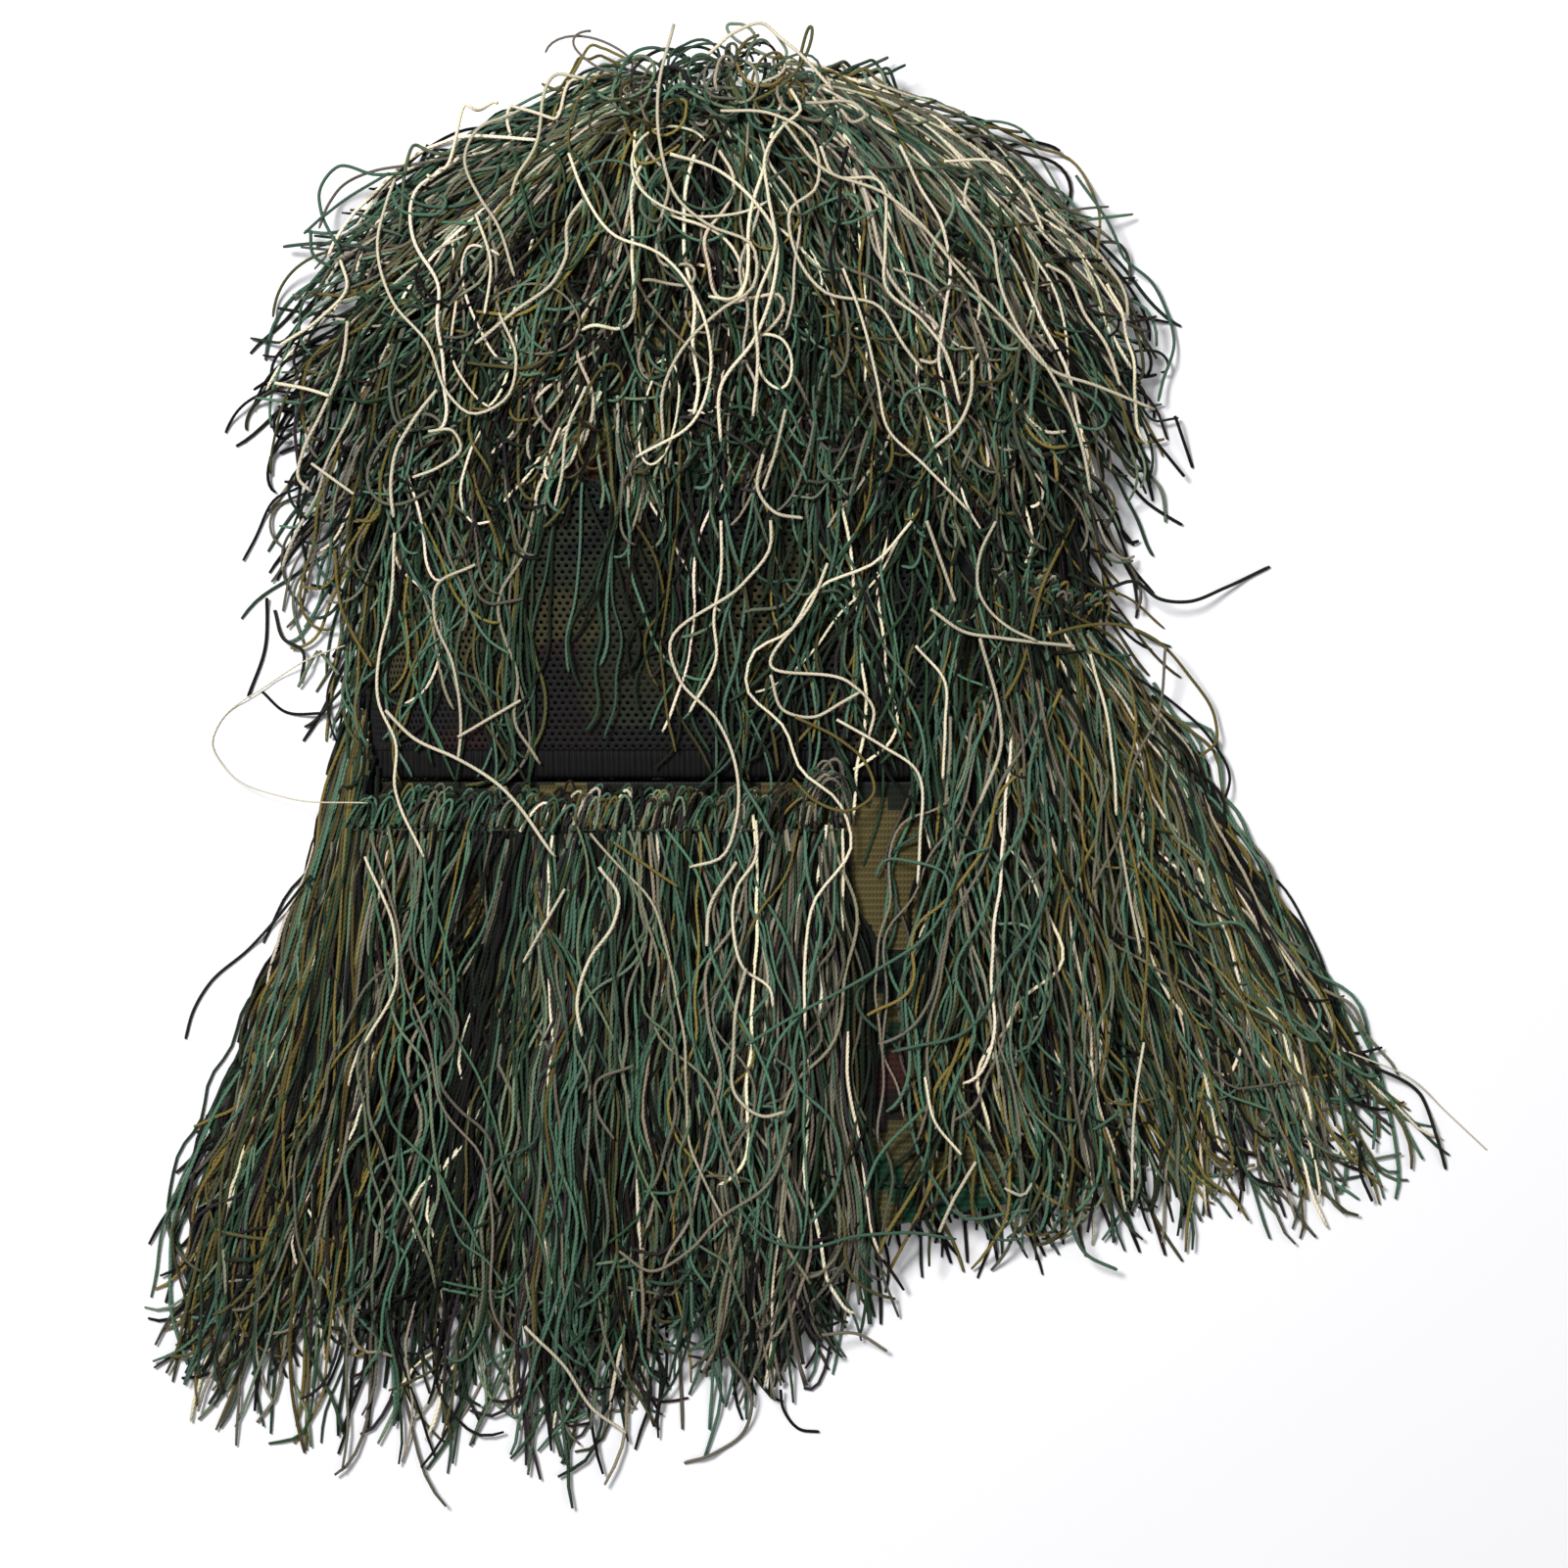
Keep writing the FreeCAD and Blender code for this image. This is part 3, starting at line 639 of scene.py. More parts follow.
def cape_front(name, node_name, y_far, y_near, lift, thickness, ribs=0.28):
    """A strip of the front cape between two lines, each a function of X. The
    ribs are sine ridges across it."""
    columns = 112
    share = np.linspace(0, 1, columns)[None, :]
    rows = max(int(abs(y_near(HOOD_CENTRE) - y_far(HOOD_CENTRE)) / 0.65), 8)
    down = np.linspace(0, 1, rows)[:, None]
    angle = math.pi * (0.035 + 0.93 * share)
    x = HOOD_CENTRE - BIB_MEAN_HALF * np.cos(angle)
    near, far = y_near(x), y_far(x)
    y = far + (near - far) * down
    wide, rise = cape_section(y)
    x = HOOD_CENTRE - (wide + lift) * np.cos(angle)
    z = CLOTH_FLOOR + (rise + lift) * np.sin(angle)
    z = z + ribs * np.sin(2 * np.pi * y / 2.6) + creases(x, y, 0.5) * np.sin(angle)
    piece = cloth_sheet(name, x, y, z, CAPE_KNIT, CAPE, thickness)
    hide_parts(node_name)
    return piece


bib = cape_front(
    "bib_cloth", "bib_panel", lambda x: hem_line(x) + HEM_WIDTH, lambda x: -CAPE_GAP + 0 * x, 0.0, FABRIC
)
bib_hem = cape_front(
    "bib_hem_fold", "bib_hem", lambda x: hem_line(x) + 0.4, lambda x: hem_line(x) + HEM_WIDTH + 0.6, 0.9,
    2.0, 0.5
)


def back_sheet(name, node_names, outline_y, half_width, z, y_steps):
    """A layer of cloth under the hood or cape, as wide at each place along Y
    as half_width says."""
    y = np.linspace(outline_y[0], outline_y[1], y_steps)[:, None]
    share = np.linspace(-1, 1, 120)[None, :]
    x = HOOD_CENTRE + half_width(y) * share
    y = y + 0 * x
    height = z + 0.25 * np.sin(x / 9.0 + y / 17.0)
    piece = cloth_sheet(name, x, y, height, KNIT, HOOD, FABRIC * 0.8)
    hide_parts(*node_names)
    return piece


back_cloth = back_sheet(
    "back_cloth", ["back_panel"], (NECK_BAND_WIDTH, HOOD_TIP), lambda y: hood_section(y)[0] - 0.4,
    CLOTH_FLOOR - BACK_SINK, 110
)
back_cape = back_sheet(
    "back_cape_cloth",
    ["back_cape"],
    (-BACK_CAPE_LENGTH + HEM_WIDTH, -0.5),
    lambda y: np.interp(y, [-BACK_CAPE_LENGTH, 0], [BACK_CAPE_HALF, BACK_NECK_HALF]),
    CLOTH_FLOOR - BACK_SINK,
    80,
)
back_hem = back_sheet(
    "back_cape_hem_fold",
    ["back_cape_hem"],
    (-BACK_CAPE_LENGTH, -BACK_CAPE_LENGTH + HEM_WIDTH),
    lambda y: BACK_CAPE_HALF + 0 * y,
    CLOTH_FLOOR - 0.2,
    8,
)

# ---------------------------------------------------------------- yarn


class Pile:
    """Height of everything laid so far, over square cells of the table: top
    is what the next strand of a row sinks to, and crest the highest yarn."""

    cell = 1.5
    low = np.array([-330.0, -370.0])
    count = (440, 500)

    def __init__(self):
        self.top = np.zeros(self.count)
        self.crest = np.zeros(self.count)
        self.x = self.low[0] + self.cell * np.arange(self.count[0])[:, None]
        self.y = self.low[1] + self.cell * np.arange(self.count[1])[None, :]

    def cells(self, x, y):
        i = np.clip(((x - self.low[0]) / self.cell + 0.5).astype(int), 0, self.count[0] - 1)
        j = np.clip(((y - self.low[1]) / self.cell + 0.5).astype(int), 0, self.count[1] - 1)
        return i, j

    def at(self, x, y):
        return self.top[self.cells(x, y)]

    def above(self, x, y):
        """The highest crest or top within one cell of each place."""
        i, j = self.cells(x, y)
        highest = np.maximum(self.top, self.crest)
        near = [
            highest[
                (i + a) % self.count[0], (j + b) % self.count[1],
            ] for a in (-1, 0, 1) for b in (-1, 0, 1)
        ]
        return np.maximum.reduce(near)

    def add_cloth(self):
        """Raises the cells under the hood and the front cape to their cloth,
        with its creases, its hem and the neck band."""
        x, y = self.x, self.y
        hem = (y < hem_line(x) + HEM_WIDTH + 2) * 2.2
        band = ((y > -2) & (y < NECK_BAND_WIDTH + 2)) * 1.6
        for section, y_low, y_high in (
            (hood_section, 0.0 * x, 282.0 + 0.0 * x),
            (cape_section, hem_line(x) - 1, 0.0 * x),
        ):
            wide, rise = section(y)
            share = np.clip(1 - ((x - HOOD_CENTRE) / (wide + 1)) ** 2, 0, None)
            cloth = CLOTH_FLOOR + rise * np.sqrt(share) + 0.7 + hem + band
            inside = (share > 0) & (y >= y_low) & (y <= y_high)
            self.top = np.where(inside, np.maximum(self.top, cloth), self.top)


# How far yarn reaches to each side, at places along Y from the lowest up.
LEFT_REACH = np.array([
    (-306, -150), (-290, -200), (-262, -258), (-234, -270), (-200, -264), (-150, -250), (-102, -235),
    (-42, -212),
    (0, -201), (34, -206), (60, -226), (94, -240), (146, -234), (178, -222), (215, -209), (238, -197),
    (262, -152),
    (285, -110), (306, -60),
], float)
RIGHT_REACH = np.array([
    (-306, -40), (-285, -8), (-262, 16), (-240, 44), (-215, 120), (-200, 190), (-185, 254), (-162, 274),
    (-122, 250),
    (-66, 212), (-2, 182), (30, 172), (62, 150), (85, 148), (100, 156), (130, 164), (160, 163), (198, 155),
    (225, 140), (250, 122), (270, 90), (286, 25), (306, 0),
], float)

# How low yarn reaches, at places along X.
LOW_REACH = np.array([
    (-285, -255), (-262, -284), (-205, -294), (-150, -296), (-101, -308), (-62, -294), (-30, -276), (8, -252),
    (32, -230), (60, -206), (110, -200), (170, -196), (225, -186), (275, -166), (300, -160),
], float)


def hold_above(rng, x, y):
    """Draws every strand up towards its root until it ends within the low
    reach below its tip; each strand has its own few millimetres."""
    low = np.interp(x[:, -1:], LOW_REACH[:, 0], LOW_REACH[:, 1]) - rng.uniform(-24, 5, (len(x), 1))
    down = y - y[:, :1]
    share = (low - y[:, :1]) / np.minimum(down.min(axis=1, keepdims=True), -1)
    return y[:, :1] + down * np.clip(share, 0.5, 1)


def hold_inside(rng, x, y):
    """Draws every strand in towards its root, across the hood, until it lies
    within the reach at each place; each strand has its own few millimetres."""
    room = rng.uniform(-26, 6, (len(x), 1))
    left = np.interp(y, LEFT_REACH[:, 0], LEFT_REACH[:, 1]) - room
    right = np.interp(y, RIGHT_REACH[:, 0], RIGHT_REACH[:, 1]) + room
    out = x - x[:, :1]
    limit = np.where(out > 0, right, left) - x[:, :1]
    share = np.where(np.abs(out) > 1, limit / np.where(np.abs(out) > 1, out, 1), 1)
    return x[:, :1] + out * np.clip(share.min(axis=1, keepdims=True), 0.25, 1)


pile = Pile()
FINE = 121  # places worked out along a strand before it is thinned
YARN_RADIUS = 0.68


def wander(rng, length, own, locks):
    """Turning of each strand along its length: five sine waves, each of a
    wavelength in millimetres and a weight. own is the share of a strand's own
    waves; its lock gives the rest. Some strands are wilder than others."""
    count = len(length)
    along = np.linspace(0, 1, FINE)[None, :] * length

    def waves(which):
        total = np.zeros((count, FINE))
        for wave, weight in ((270, 0.5), (135, 0.8), (76, 0.8), (44, 0.5), (27, 0.26)):
            phase, size, pace = (rng.uniform(0, 1, (count, 1))[which] for _ in range(3))
            turns = along / (wave * (0.75 + 0.5 * pace)) + phase
            total += weight * (3.4 * size - 1.7) * np.sin(2 * np.pi * turns)
        return total

    wild = np.exp(np.clip(rng.normal(0, 0.35, (count, 1)), -1, 0.55))
    return wild * ((1 - own) * waves(locks) + own * waves(np.arange(count)))


def grow(rng, x, y, start, end, length, locks, settle=80.0, sway=8.0, tip=8.0, own=0.5):
    """Plan of strands that leave their roots at one angle and settle to
    another. The angle is end + (start - end) exp(-along / settle) + sway
    times the wander, which grows along the strand, + a curl at the tip; the
    plan is the sum of the steps taken at that angle."""
    x, y, start, end, length = (np.asarray(v, float).reshape(-1, 1) for v in (x, y, start, end, length))
    s = np.linspace(0, 1, FINE)[None, :]
    angle = end + (start - end) * np.exp(-s * length / settle)
    angle = angle + sway * wander(rng, length, own, locks) * np.clip(0.25 + s * length / 90, 0, 1)
    angle = angle + rng.normal(0, tip, x.shape) * np.clip((s - 0.7) / 0.3, 0, 1) ** 1.5 * 2
    turn = np.radians(np.clip(angle, -98, 98))
    step = length / (FINE - 1)
    return x + np.cumsum(np.sin(turn) * step, axis=1), y - np.cumsum(np.cos(turn) * step, axis=1)


def thin(plan, places):
    """The fine plan read at fewer, even places."""
    at = np.linspace(0, FINE - 1, places)
    low = np.clip(at.astype(int), 0, FINE - 2)
    share = at - low
    return plan[:, low] * (1 - share) + plan[:, low + 1] * share


def lay(x, y, radius, slope=0.45, pack=0.7, ceiling=None, bulge=None, batch=14, over=False):
    """Heights of strands laid one small batch after another on the pile. A
    strand rests on the highest thing under it and can't fall faster than its
    slope, so it bridges gaps; a light smoothing rounds it. pack is the share
    of its thickness that it adds to the pile. A strand laid over the rest
    keeps above every crest it crosses."""
    z = np.zeros_like(x)
    shares = np.linspace(0, 1, 9)[:-1]
    for first in range(0, len(x), batch):
        part = slice(first, first + batch)
        px, py, r = x[part], y[part], radius[part, None]
        height = pile.above(px, py) if over else pile.at(px, py)
        step = np.hypot(np.diff(px, axis=1), np.diff(py, axis=1)) * slope
        for k in range(1, px.shape[1]):
            height[:, k] = np.maximum(height[:, k], height[:, k - 1] - step[:, k - 1])
        for k in range(px.shape[1] - 2, -1, -1):
            height[:, k] = np.maximum(height[:, k], height[:, k + 1] - step[:, k])
        lowest = height.copy() if over else -np.inf
        for _ in range(2):
            height[:, 1:-1] = 0.25 * height[:, :-2] + 0.5 * height[:, 1:-1] + 0.25 * height[:, 2:]
        height = np.maximum(height, lowest) + r
        if ceiling is not None:
            height = np.minimum(height, ceiling(px, py))
        lifted = height if bulge is None else height + bulge[part]
        dense = [
            np.concatenate([a[:, :-1] * (1 - f) + a[:, 1:] * f for f in shares], axis=1)
            for a in (px, py, height, lifted)
        ]
        cells = pile.cells(dense[0], dense[1])
        np.maximum.at(pile.top, cells, dense[2] + (2 * pack - 1) * YARN_RADIUS)
        np.maximum.at(pile.crest, cells, dense[3] + YARN_RADIUS)
        z[part] = lifted
    return np.minimum(z, YARN_CEILING)


def dye_and_shade_strands(rng, count, mix, deep_shade_mix=None, deep=0.0):
    """A colour for each strand: a yarn shade drawn by its weight, then varied
    in brightness. The first share of the strands, deep, has its own mixture of
    dark shades and is darkened further: painted shade for the lowest layers of the pile."""
    dyes = np.zeros((count, 3))
    first = int(count * deep)
    for part, shades in ((slice(0, first), deep_shade_mix), (slice(first, count), mix)):
        if not shades or part.start == part.stop:
            continue
        names = list(shades)
        weights = np.array([shades[n] for n in names], float)
        picked = rng.choice(len(names), part.stop - part.start, p=weights / weights.sum())
        dyes[part] = np.array([linear(SHADES[n]) for n in names])[picked]
    # Painted shade: the deep strands are darkened further, as if shadowed low in the pile.
    dyes[:first] *= 0.42
    return dyes * rng.uniform(0.42, 1.36, (count, 1)) * rng.uniform(0.94, 1.06, (count, 3))


def make_strands(name, x, y, z, radius, dye_and_shade, body, sides=5, replaced=(), taper=0.75):
    """Tubes along strands: at each place a ring of points round the strand,
    in the plane across its direction, closed by a flat face at each end."""
    count, places = x.shape
    line = np.stack([x, y, z], -1)
    ahead = np.gradient(line, axis=1)
    ahead /= np.maximum(np.linalg.norm(ahead, axis=2, keepdims=True), 1e-9)
    side = np.cross(ahead, np.array([0.0, 0.0, 1.0]))
    side /= np.maximum(np.linalg.norm(side, axis=2, keepdims=True), 1e-6)
    up = np.cross(side, ahead)
    turn = 2 * np.pi * np.arange(sides) / sides
    size = np.broadcast_to(radius[:, None], (count, places)).copy()
    size[:, -1] *= taper
    ring = (
        line[:, :, None, :]
        + size[:, :, None, None] * np.cos(turn)[None, None, :, None] * side[:, :, None, :]
        + size[:, :, None, None] * np.sin(turn)[None, None, :, None] * up[:, :, None, :]
    )
    points = ring.reshape(-1, 3)
    s, p, k = np.meshgrid(np.arange(count), np.arange(places - 1), np.arange(sides), indexing="ij")
    base = (s * places + p) * sides
    after = (k + 1) % sides
    quads = np.stack([base + k, base + after, base + sides + after, base + sides + k], -1).reshape(-1, 4)
    quads = quads[:, ::-1]
    first = (np.arange(count) * places * sides)[:, None]
    near = first + np.arange(sides)[None, :]
    far = (first + (places - 1) * sides) + np.arange(sides)[::-1][None, :]
    corners = np.concatenate([quads.ravel(), near.ravel(), far.ravel()])
    sizes = np.concatenate([np.full(len(quads), 4), np.full(2 * count, sides)])
    piece = make_piece(name, points, corners, sizes, YARN, body)
    attribute = piece.data.color_attributes.new("dye_and_shade", "FLOAT_COLOR", "POINT")
    per_point = np.repeat(np.concatenate([dye_and_shade, np.ones((count, 1))], 1), places * sides, axis=0)
    attribute.data.foreach_set("color", per_point.astype(np.float32).ravel())
    # Maps: metres along and turns round; and a lane of the bake for each strand.
    steps = np.linalg.norm(np.diff(line, axis=1), axis=2)
    metres = np.concatenate([np.zeros((count, 1)), np.cumsum(steps, axis=1)], axis=1) * MM
    round_ = np.stack([k, k + 1, k + 1, k], -1).reshape(-1, 4)[:, ::-1] / sides
    along = np.stack([p, p, p + 1, p + 1], -1).reshape(-1, 4)[:, ::-1]
    which = np.repeat(s.reshape(-1, 1), 4, axis=1)
    strand_map = np.stack([metres[which, along] + which * 0.37, round_], -1).reshape(-1, 2)
    lane_u = along / (places - 1)
    lanes = math.ceil(count / 2)
    lane = np.stack([(which % 2 + 0.02 + 0.96 * lane_u) / 2, (which // 2 + 0.1 + 0.8 * round_) / lanes], -1)
    caps = np.zeros((2 * count * sides, 2))
    ids = np.arange(count)
    for end, rows in ((0, caps[: count * sides]), (1, caps[count * sides :])):
        rows[:, 0] = np.repeat((ids % 2 + 0.02 + 0.96 * end) / 2, sides)
        rows[:, 1] = np.repeat((ids // 2 + 0.5) / lanes, sides)
    set_map(piece, "strand", np.concatenate([strand_map, caps]))
    set_map(piece, "OFBake", np.concatenate([lane.reshape(-1, 2), caps]))
    if body is None:
        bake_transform(piece)
    if replaced:
        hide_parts(*replaced)
    return piece


def yarn_row(name, seed, body, stations, count, mix, replaced=(), **style):
    """A row of yarn. Each station along the row holds the place of a root,
    the first and the last angle, and a length; strands between two stations
    take values between theirs. Strands come in locks, which start side by
    side, lean one way, end at about one length and gather towards their
    middle line; the deep locks are shorter. body None attaches the yarn to
    no body, for yarn that lies over the neck seam."""
    rng = np.random.default_rng(seed)
    look = dict(
        scatter=(1.5, 2.0), fan=4.0, shorter=0.28, deep=0.5, deep_shade_mix=DEEP_SHADE_MIX, places=32, sides=5, lock=6,
        gather=0.3, radius=YARN_RADIUS, loft=0.0, slope=0.45, pack=0.7, ceiling=None,
        over=False,
    )
    look.update({key: style.pop(key) for key in list(style) if key in look})
    stations = np.array(stations, float)
    locks = np.arange(count) // look["lock"]
    groups = locks[-1] + 1
    middle = rng.permutation(np.linspace(0, 1, groups))[locks]
    t = np.clip(middle + rng.uniform(-0.8, 0.8, count) / groups, 0, 1)
    even = np.linspace(0, 1, len(stations))
    x, y, start, end, length = (np.interp(t, even, column) for column in stations.T)
    x, y = (a + s * np.clip(rng.normal(0, 1, count), -1.7, 1.7) for a, s in zip((x, y), look["scatter"]))
    turn = look["fan"] * (rng.normal(0, 1, groups)[locks] + rng.normal(0, 0.5, count))
    cut_back = rng.uniform(0, 1, groups)[locks] + rng.uniform(0, 1, count)
    length = length * (1 - 0.6 * look["shorter"] * cut_back)
    is_deep = np.arange(count) < count * look["deep"]
    length = np.where(is_deep, length * rng.uniform(0.7, 0.94, count), length)
    plan = grow(rng, x, y, start + 1.5 * turn, end + turn, length, locks, **style)
    px, py = (thin(axis, look["places"]) for axis in plan)
    members = np.bincount(locks)[:, None]
    line = np.add.reduceat(px, np.arange(0, count, look["lock"]), axis=0) / members
    px = px + (line[locks] - px) * look["gather"] * np.linspace(0, 1, look["places"])
    py = hold_above(rng, px, py)
    px = hold_inside(rng, px, py)
    radius = look["radius"] * rng.uniform(0.82, 1.15, count)
    bulge = None
    if look["loft"]:
        s = np.linspace(0, 1, look["places"])[None, :]
        waves = np.sin(np.pi * (s * rng.uniform(1.2, 3.4, (count, 1)) + rng.uniform(0, 1, (count, 1)))) ** 2
        bulge = look["loft"] * rng.uniform(0, 1, (count, 1)) * waves
    z = lay(px, py, radius, look["slope"], look["pack"], look["ceiling"], bulge, over=look["over"])
    dye_and_shade = dye_and_shade_strands(rng, count, mix, look["deep_shade_mix"], look["deep"])
    return make_strands(name, px, py, z, radius, dye_and_shade, body, look["sides"], replaced)


# Dark shades for the deep strands of each row: painted shade for the lowest layers of the pile.
DEEP_SHADE_MIX = {"pine": 3, "moss": 4, "black": 3, "bark": 2, "plum": 1, "olive": 1}
BACK_MIX = {
    "teal": 2, "pine": 3, "moss": 2, "mustard": 1.4, "olive": 2, "taupe": 1, "black": 3, "bark": 2,
    "cream": 0.3,
}
LEFT_MIX = {
    "teal": 2.4, "sage": 0.8, "pine": 2.4, "mustard": 3.4, "olive": 2.4, "taupe": 1.4, "stone": 1,
    "plum": 1.4, "black": 1.8, "bark": 1.6, "cream": 1.1,
}
CHEST_MIX = {
    "teal": 5.6, "sage": 1, "pine": 4, "mustard": 1.3, "olive": 2.2, "taupe": 0.8, "stone": 2.0,
    "plum": 1.9, "black": 1.8, "bark": 0.9, "cream": 0.6,
}
TAUPE_MIX = {
    "taupe": 4, "stone": 5, "plum": 1.4, "olive": 1, "teal": 1.6, "pine": 2, "black": 1, "cream": 0.4,
}
SHOULDER_MIX = {
    "teal": 4.5, "sage": 2.2, "pine": 2.6, "mustard": 3.0, "olive": 2.0, "taupe": 2.0, "stone": 1.5,
    "plum": 0.6, "black": 1.2, "bark": 0.5, "cream": 1.25,
}
CROWN_MIX = {
    "teal": 4.5, "sage": 2.2, "pine": 3, "mustard": 1.3, "olive": 1.8, "taupe": 1.6, "stone": 2,
    "plum": 0.8, "black": 1.0, "bark": 0.6, "cream": 0.75,
}
SWEEP_MIX = {
    "teal": 4, "sage": 3, "olive": 1.5, "mustard": 1.5, "taupe": 1.5, "stone": 2, "pine": 1.5, "cream": 3,
}
FACE_MIX = {
    "teal": 5, "sage": 1, "pine": 5, "moss": 2.4, "mustard": 1.2, "olive": 1.6, "taupe": 0.8, "plum": 0.8,
    "black": 1.2, "cream": 0.8,
}
OVER_MIX = {"teal": 8, "sage": 2, "mustard": 1.6, "taupe": 2, "stone": 1.5, "black": 0.6, "cream": 0.6}
CREAM_MIX = {"cream": 8, "taupe": 1, "sage": 1.6, "teal": 1}


UNDER_HALF, UNDER_TOP = 150.0, 280.0
OPEN_CEILING = 60.0


def under_cloth(x, y):
    """The most that yarn under the back can rise: the cloth lies on it."""
    covered = (np.abs(x - HOOD_CENTRE) < UNDER_HALF) & (y > -BACK_CAPE_LENGTH) & (y < UNDER_TOP)
    return np.where(covered, BACK_YARN_DEPTH - 1.0, OPEN_CEILING)


# Yarn sewn to the back: flat under the cloth and free beyond it.
BACK_STYLE = dict(
    ceiling=under_cloth, places=24, sides=4, scatter=(2, 22), fan=9, shorter=0.35, sway=9, tip=8, deep=0.3
)
back_crown = yarn_row(
    "back_crown_yarn", 21, HOOD, [(-160, 170, -40, -22, 130), (-31, 170, 0, 0, 190), (98, 170, 36, 18, 120)],
    300, BACK_MIX, ["back_fringe_crown"], **{**BACK_STYLE, "scatter": (2, 55)},
)
back_nape = yarn_row(
    "back_nape_yarn", 23, HOOD, [(-170, 45, -20, -14, 235), (-31, 45, 0, 0, 235), (108, 45, 22, 22, 215)],
    240, BACK_MIX, ["back_fringe_nape"], **BACK_STYLE,
)
back_low = yarn_row(
    "back_cape_yarn", 25, HOOD, [(-184, -90, -14, -10, 165), (-31, -95, 0, 0, 170), (124, -80, 12, 12, 135)],
    320, BACK_MIX, ["back_fringe_cape"], **BACK_STYLE,
)
pile.add_cloth()

# Chest: near upright strands from one straight line of stitches, and a row
# from the left shoulder that falls outside them.
CHEST_STYLE = dict(
    sway=21, tip=30, fan=5, lock=9, gather=0.5, shorter=0.3, deep=0.5, places=34, own=0.35, loft=3.5,
    radius=0.73
)
chest_left = yarn_row(
    "chest_yarn_left", 31, CAPE,
    [(-184, CHEST_ROW, -17, -19, 282), (-165, CHEST_ROW, -13, -15, 298), (-111, CHEST_ROW, -7, -6, 318)],
    300, LEFT_MIX, ["chest_fringe_left"], **CHEST_STYLE,
)
left_shoulder = yarn_row(
    "left_shoulder_yarn", 37, None, [(-180, 38, -12, -18, 335), (-174, 6, -14, -20, 320)], 100, LEFT_MIX,
    sway=14, tip=18, fan=4, shorter=0.4, places=36,
)
chest_middle = yarn_row(
    "chest_yarn_middle", 33, CAPE,
    [(-114, CHEST_ROW, -8, -6, 318), (-69, CHEST_ROW, -1, 0, 315), (-17, CHEST_ROW, 2, 2, 280)],
    380, CHEST_MIX, ["chest_fringe_middle"], **CHEST_STYLE,
)
chest_right = yarn_row(
    "chest_yarn_right", 35, CAPE, [(-20, CHEST_ROW, 0, -2, 278), (20, CHEST_ROW, -3, -3, 258)],
    150, TAUPE_MIX, ["chest_fringe_right"], **{**CHEST_STYLE, "sway": 14, "fan": 3},
)
shoulder_lower = yarn_row(
    "shoulder_yarn_lower", 41, None,
    [
        (58, 18, 3, 2, 262), (84, 16, 8, 5, 264), (112, 12, 20, 14, 258), (134, 18, 32, 27, 274),
        (146, 30, 40, 32, 276),
    ],
    260, SHOULDER_MIX, ["shoulder_fringe_lower"], **{**CHEST_STYLE, "scatter": (3, 8), "deep": 0.44},
)
shoulder_upper = yarn_row(
    "shoulder_yarn_upper", 43, None,
    [(66, 76, -4, 1, 312), (92, 72, 8, 8, 308), (112, 64, 24, 18, 300), (122, 60, 44, 30, 300)],
    210, SHOULDER_MIX, ["shoulder_fringe_upper"], **{**CHEST_STYLE, "scatter": (3, 3), "deep": 0.4},
)
WILD_STYLE = dict(
    sway=23, tip=20, fan=11, shorter=0.45, deep=0.0, scatter=(3, 5), places=44, loft=2.0, own=0.9, over=True,
)
chest_wild = yarn_row(
    "chest_yarn_over", 45, CAPE,
    [(-170, CHEST_ROW, -12, -14, 250), (-60, CHEST_ROW, 0, 0, 250), (12, CHEST_ROW, 0, -6, 230)],
    56, OVER_MIX, **WILD_STYLE,
)
shoulder_wild = yarn_row(
    "shoulder_yarn_over", 47, None, [(54, 20, -14, -2, 230), (90, 40, -10, 6, 240), (130, 30, 22, 20, 240)],
    58, OVER_MIX, **WILD_STYLE,
)


def loops(name, seed, body, x, y, width, height, lift, lean, mix, replaced=(), places=14):
    """Folded yarn above a row: half ellipses that rise from the row, lean to
    one side and come back to it."""
    rng = np.random.default_rng(seed)
    count = len(x)
    t = np.linspace(0, np.pi, places)[None, :]
    width, height, lift = (v * rng.uniform(0.75, 1.25, (count, 1)) for v in (width, height, lift))
    lean = lean + rng.normal(0, 0.15, (count, 1))
    px = x[:, None] + width * (0.5 - 0.5 * np.cos(t)) + lean * height * np.sin(t)
    py = y[:, None] + height * np.sin(t)
    dye_and_shade = dye_and_shade_strands(rng, count, mix)
    radius = YARN_RADIUS * rng.uniform(0.85, 1.15, count)
    z = lay(px, py, radius, bulge=lift * np.sin(t) ** 2)
    return make_strands(name, px, py, z, radius, dye_and_shade, body, 5, replaced, 1.0)


rng = np.random.default_rng(11)
x = np.linspace(-184, 4, 170) + rng.uniform(-1.5, 1.5, 170)
y = CHEST_ROW + rng.uniform(-2, 2, 170)
chest_loops = loops("chest_loops", 61, None, x, y, 7.0, 14.0, 4.0, 0.3, CHEST_MIX)
x = rng.uniform(2, 11, 26)
y = CHEST_ROW + rng.uniform(0, 7, 26)
taupe_loops = loops("taupe_loops", 62, None, x, y, 12.0, 18.0, 7.0, 0.1, TAUPE_MIX)
share = rng.uniform(0, 1, 50)
x = 74 + 46 * share
y = 76 - 14 * share + rng.uniform(-3, 3, 50)
shoulder_loops = loops("shoulder_loops", 63, HOOD, x, y, 6.0, 10.0, 5.0, 0.5, SHOULDER_MIX)

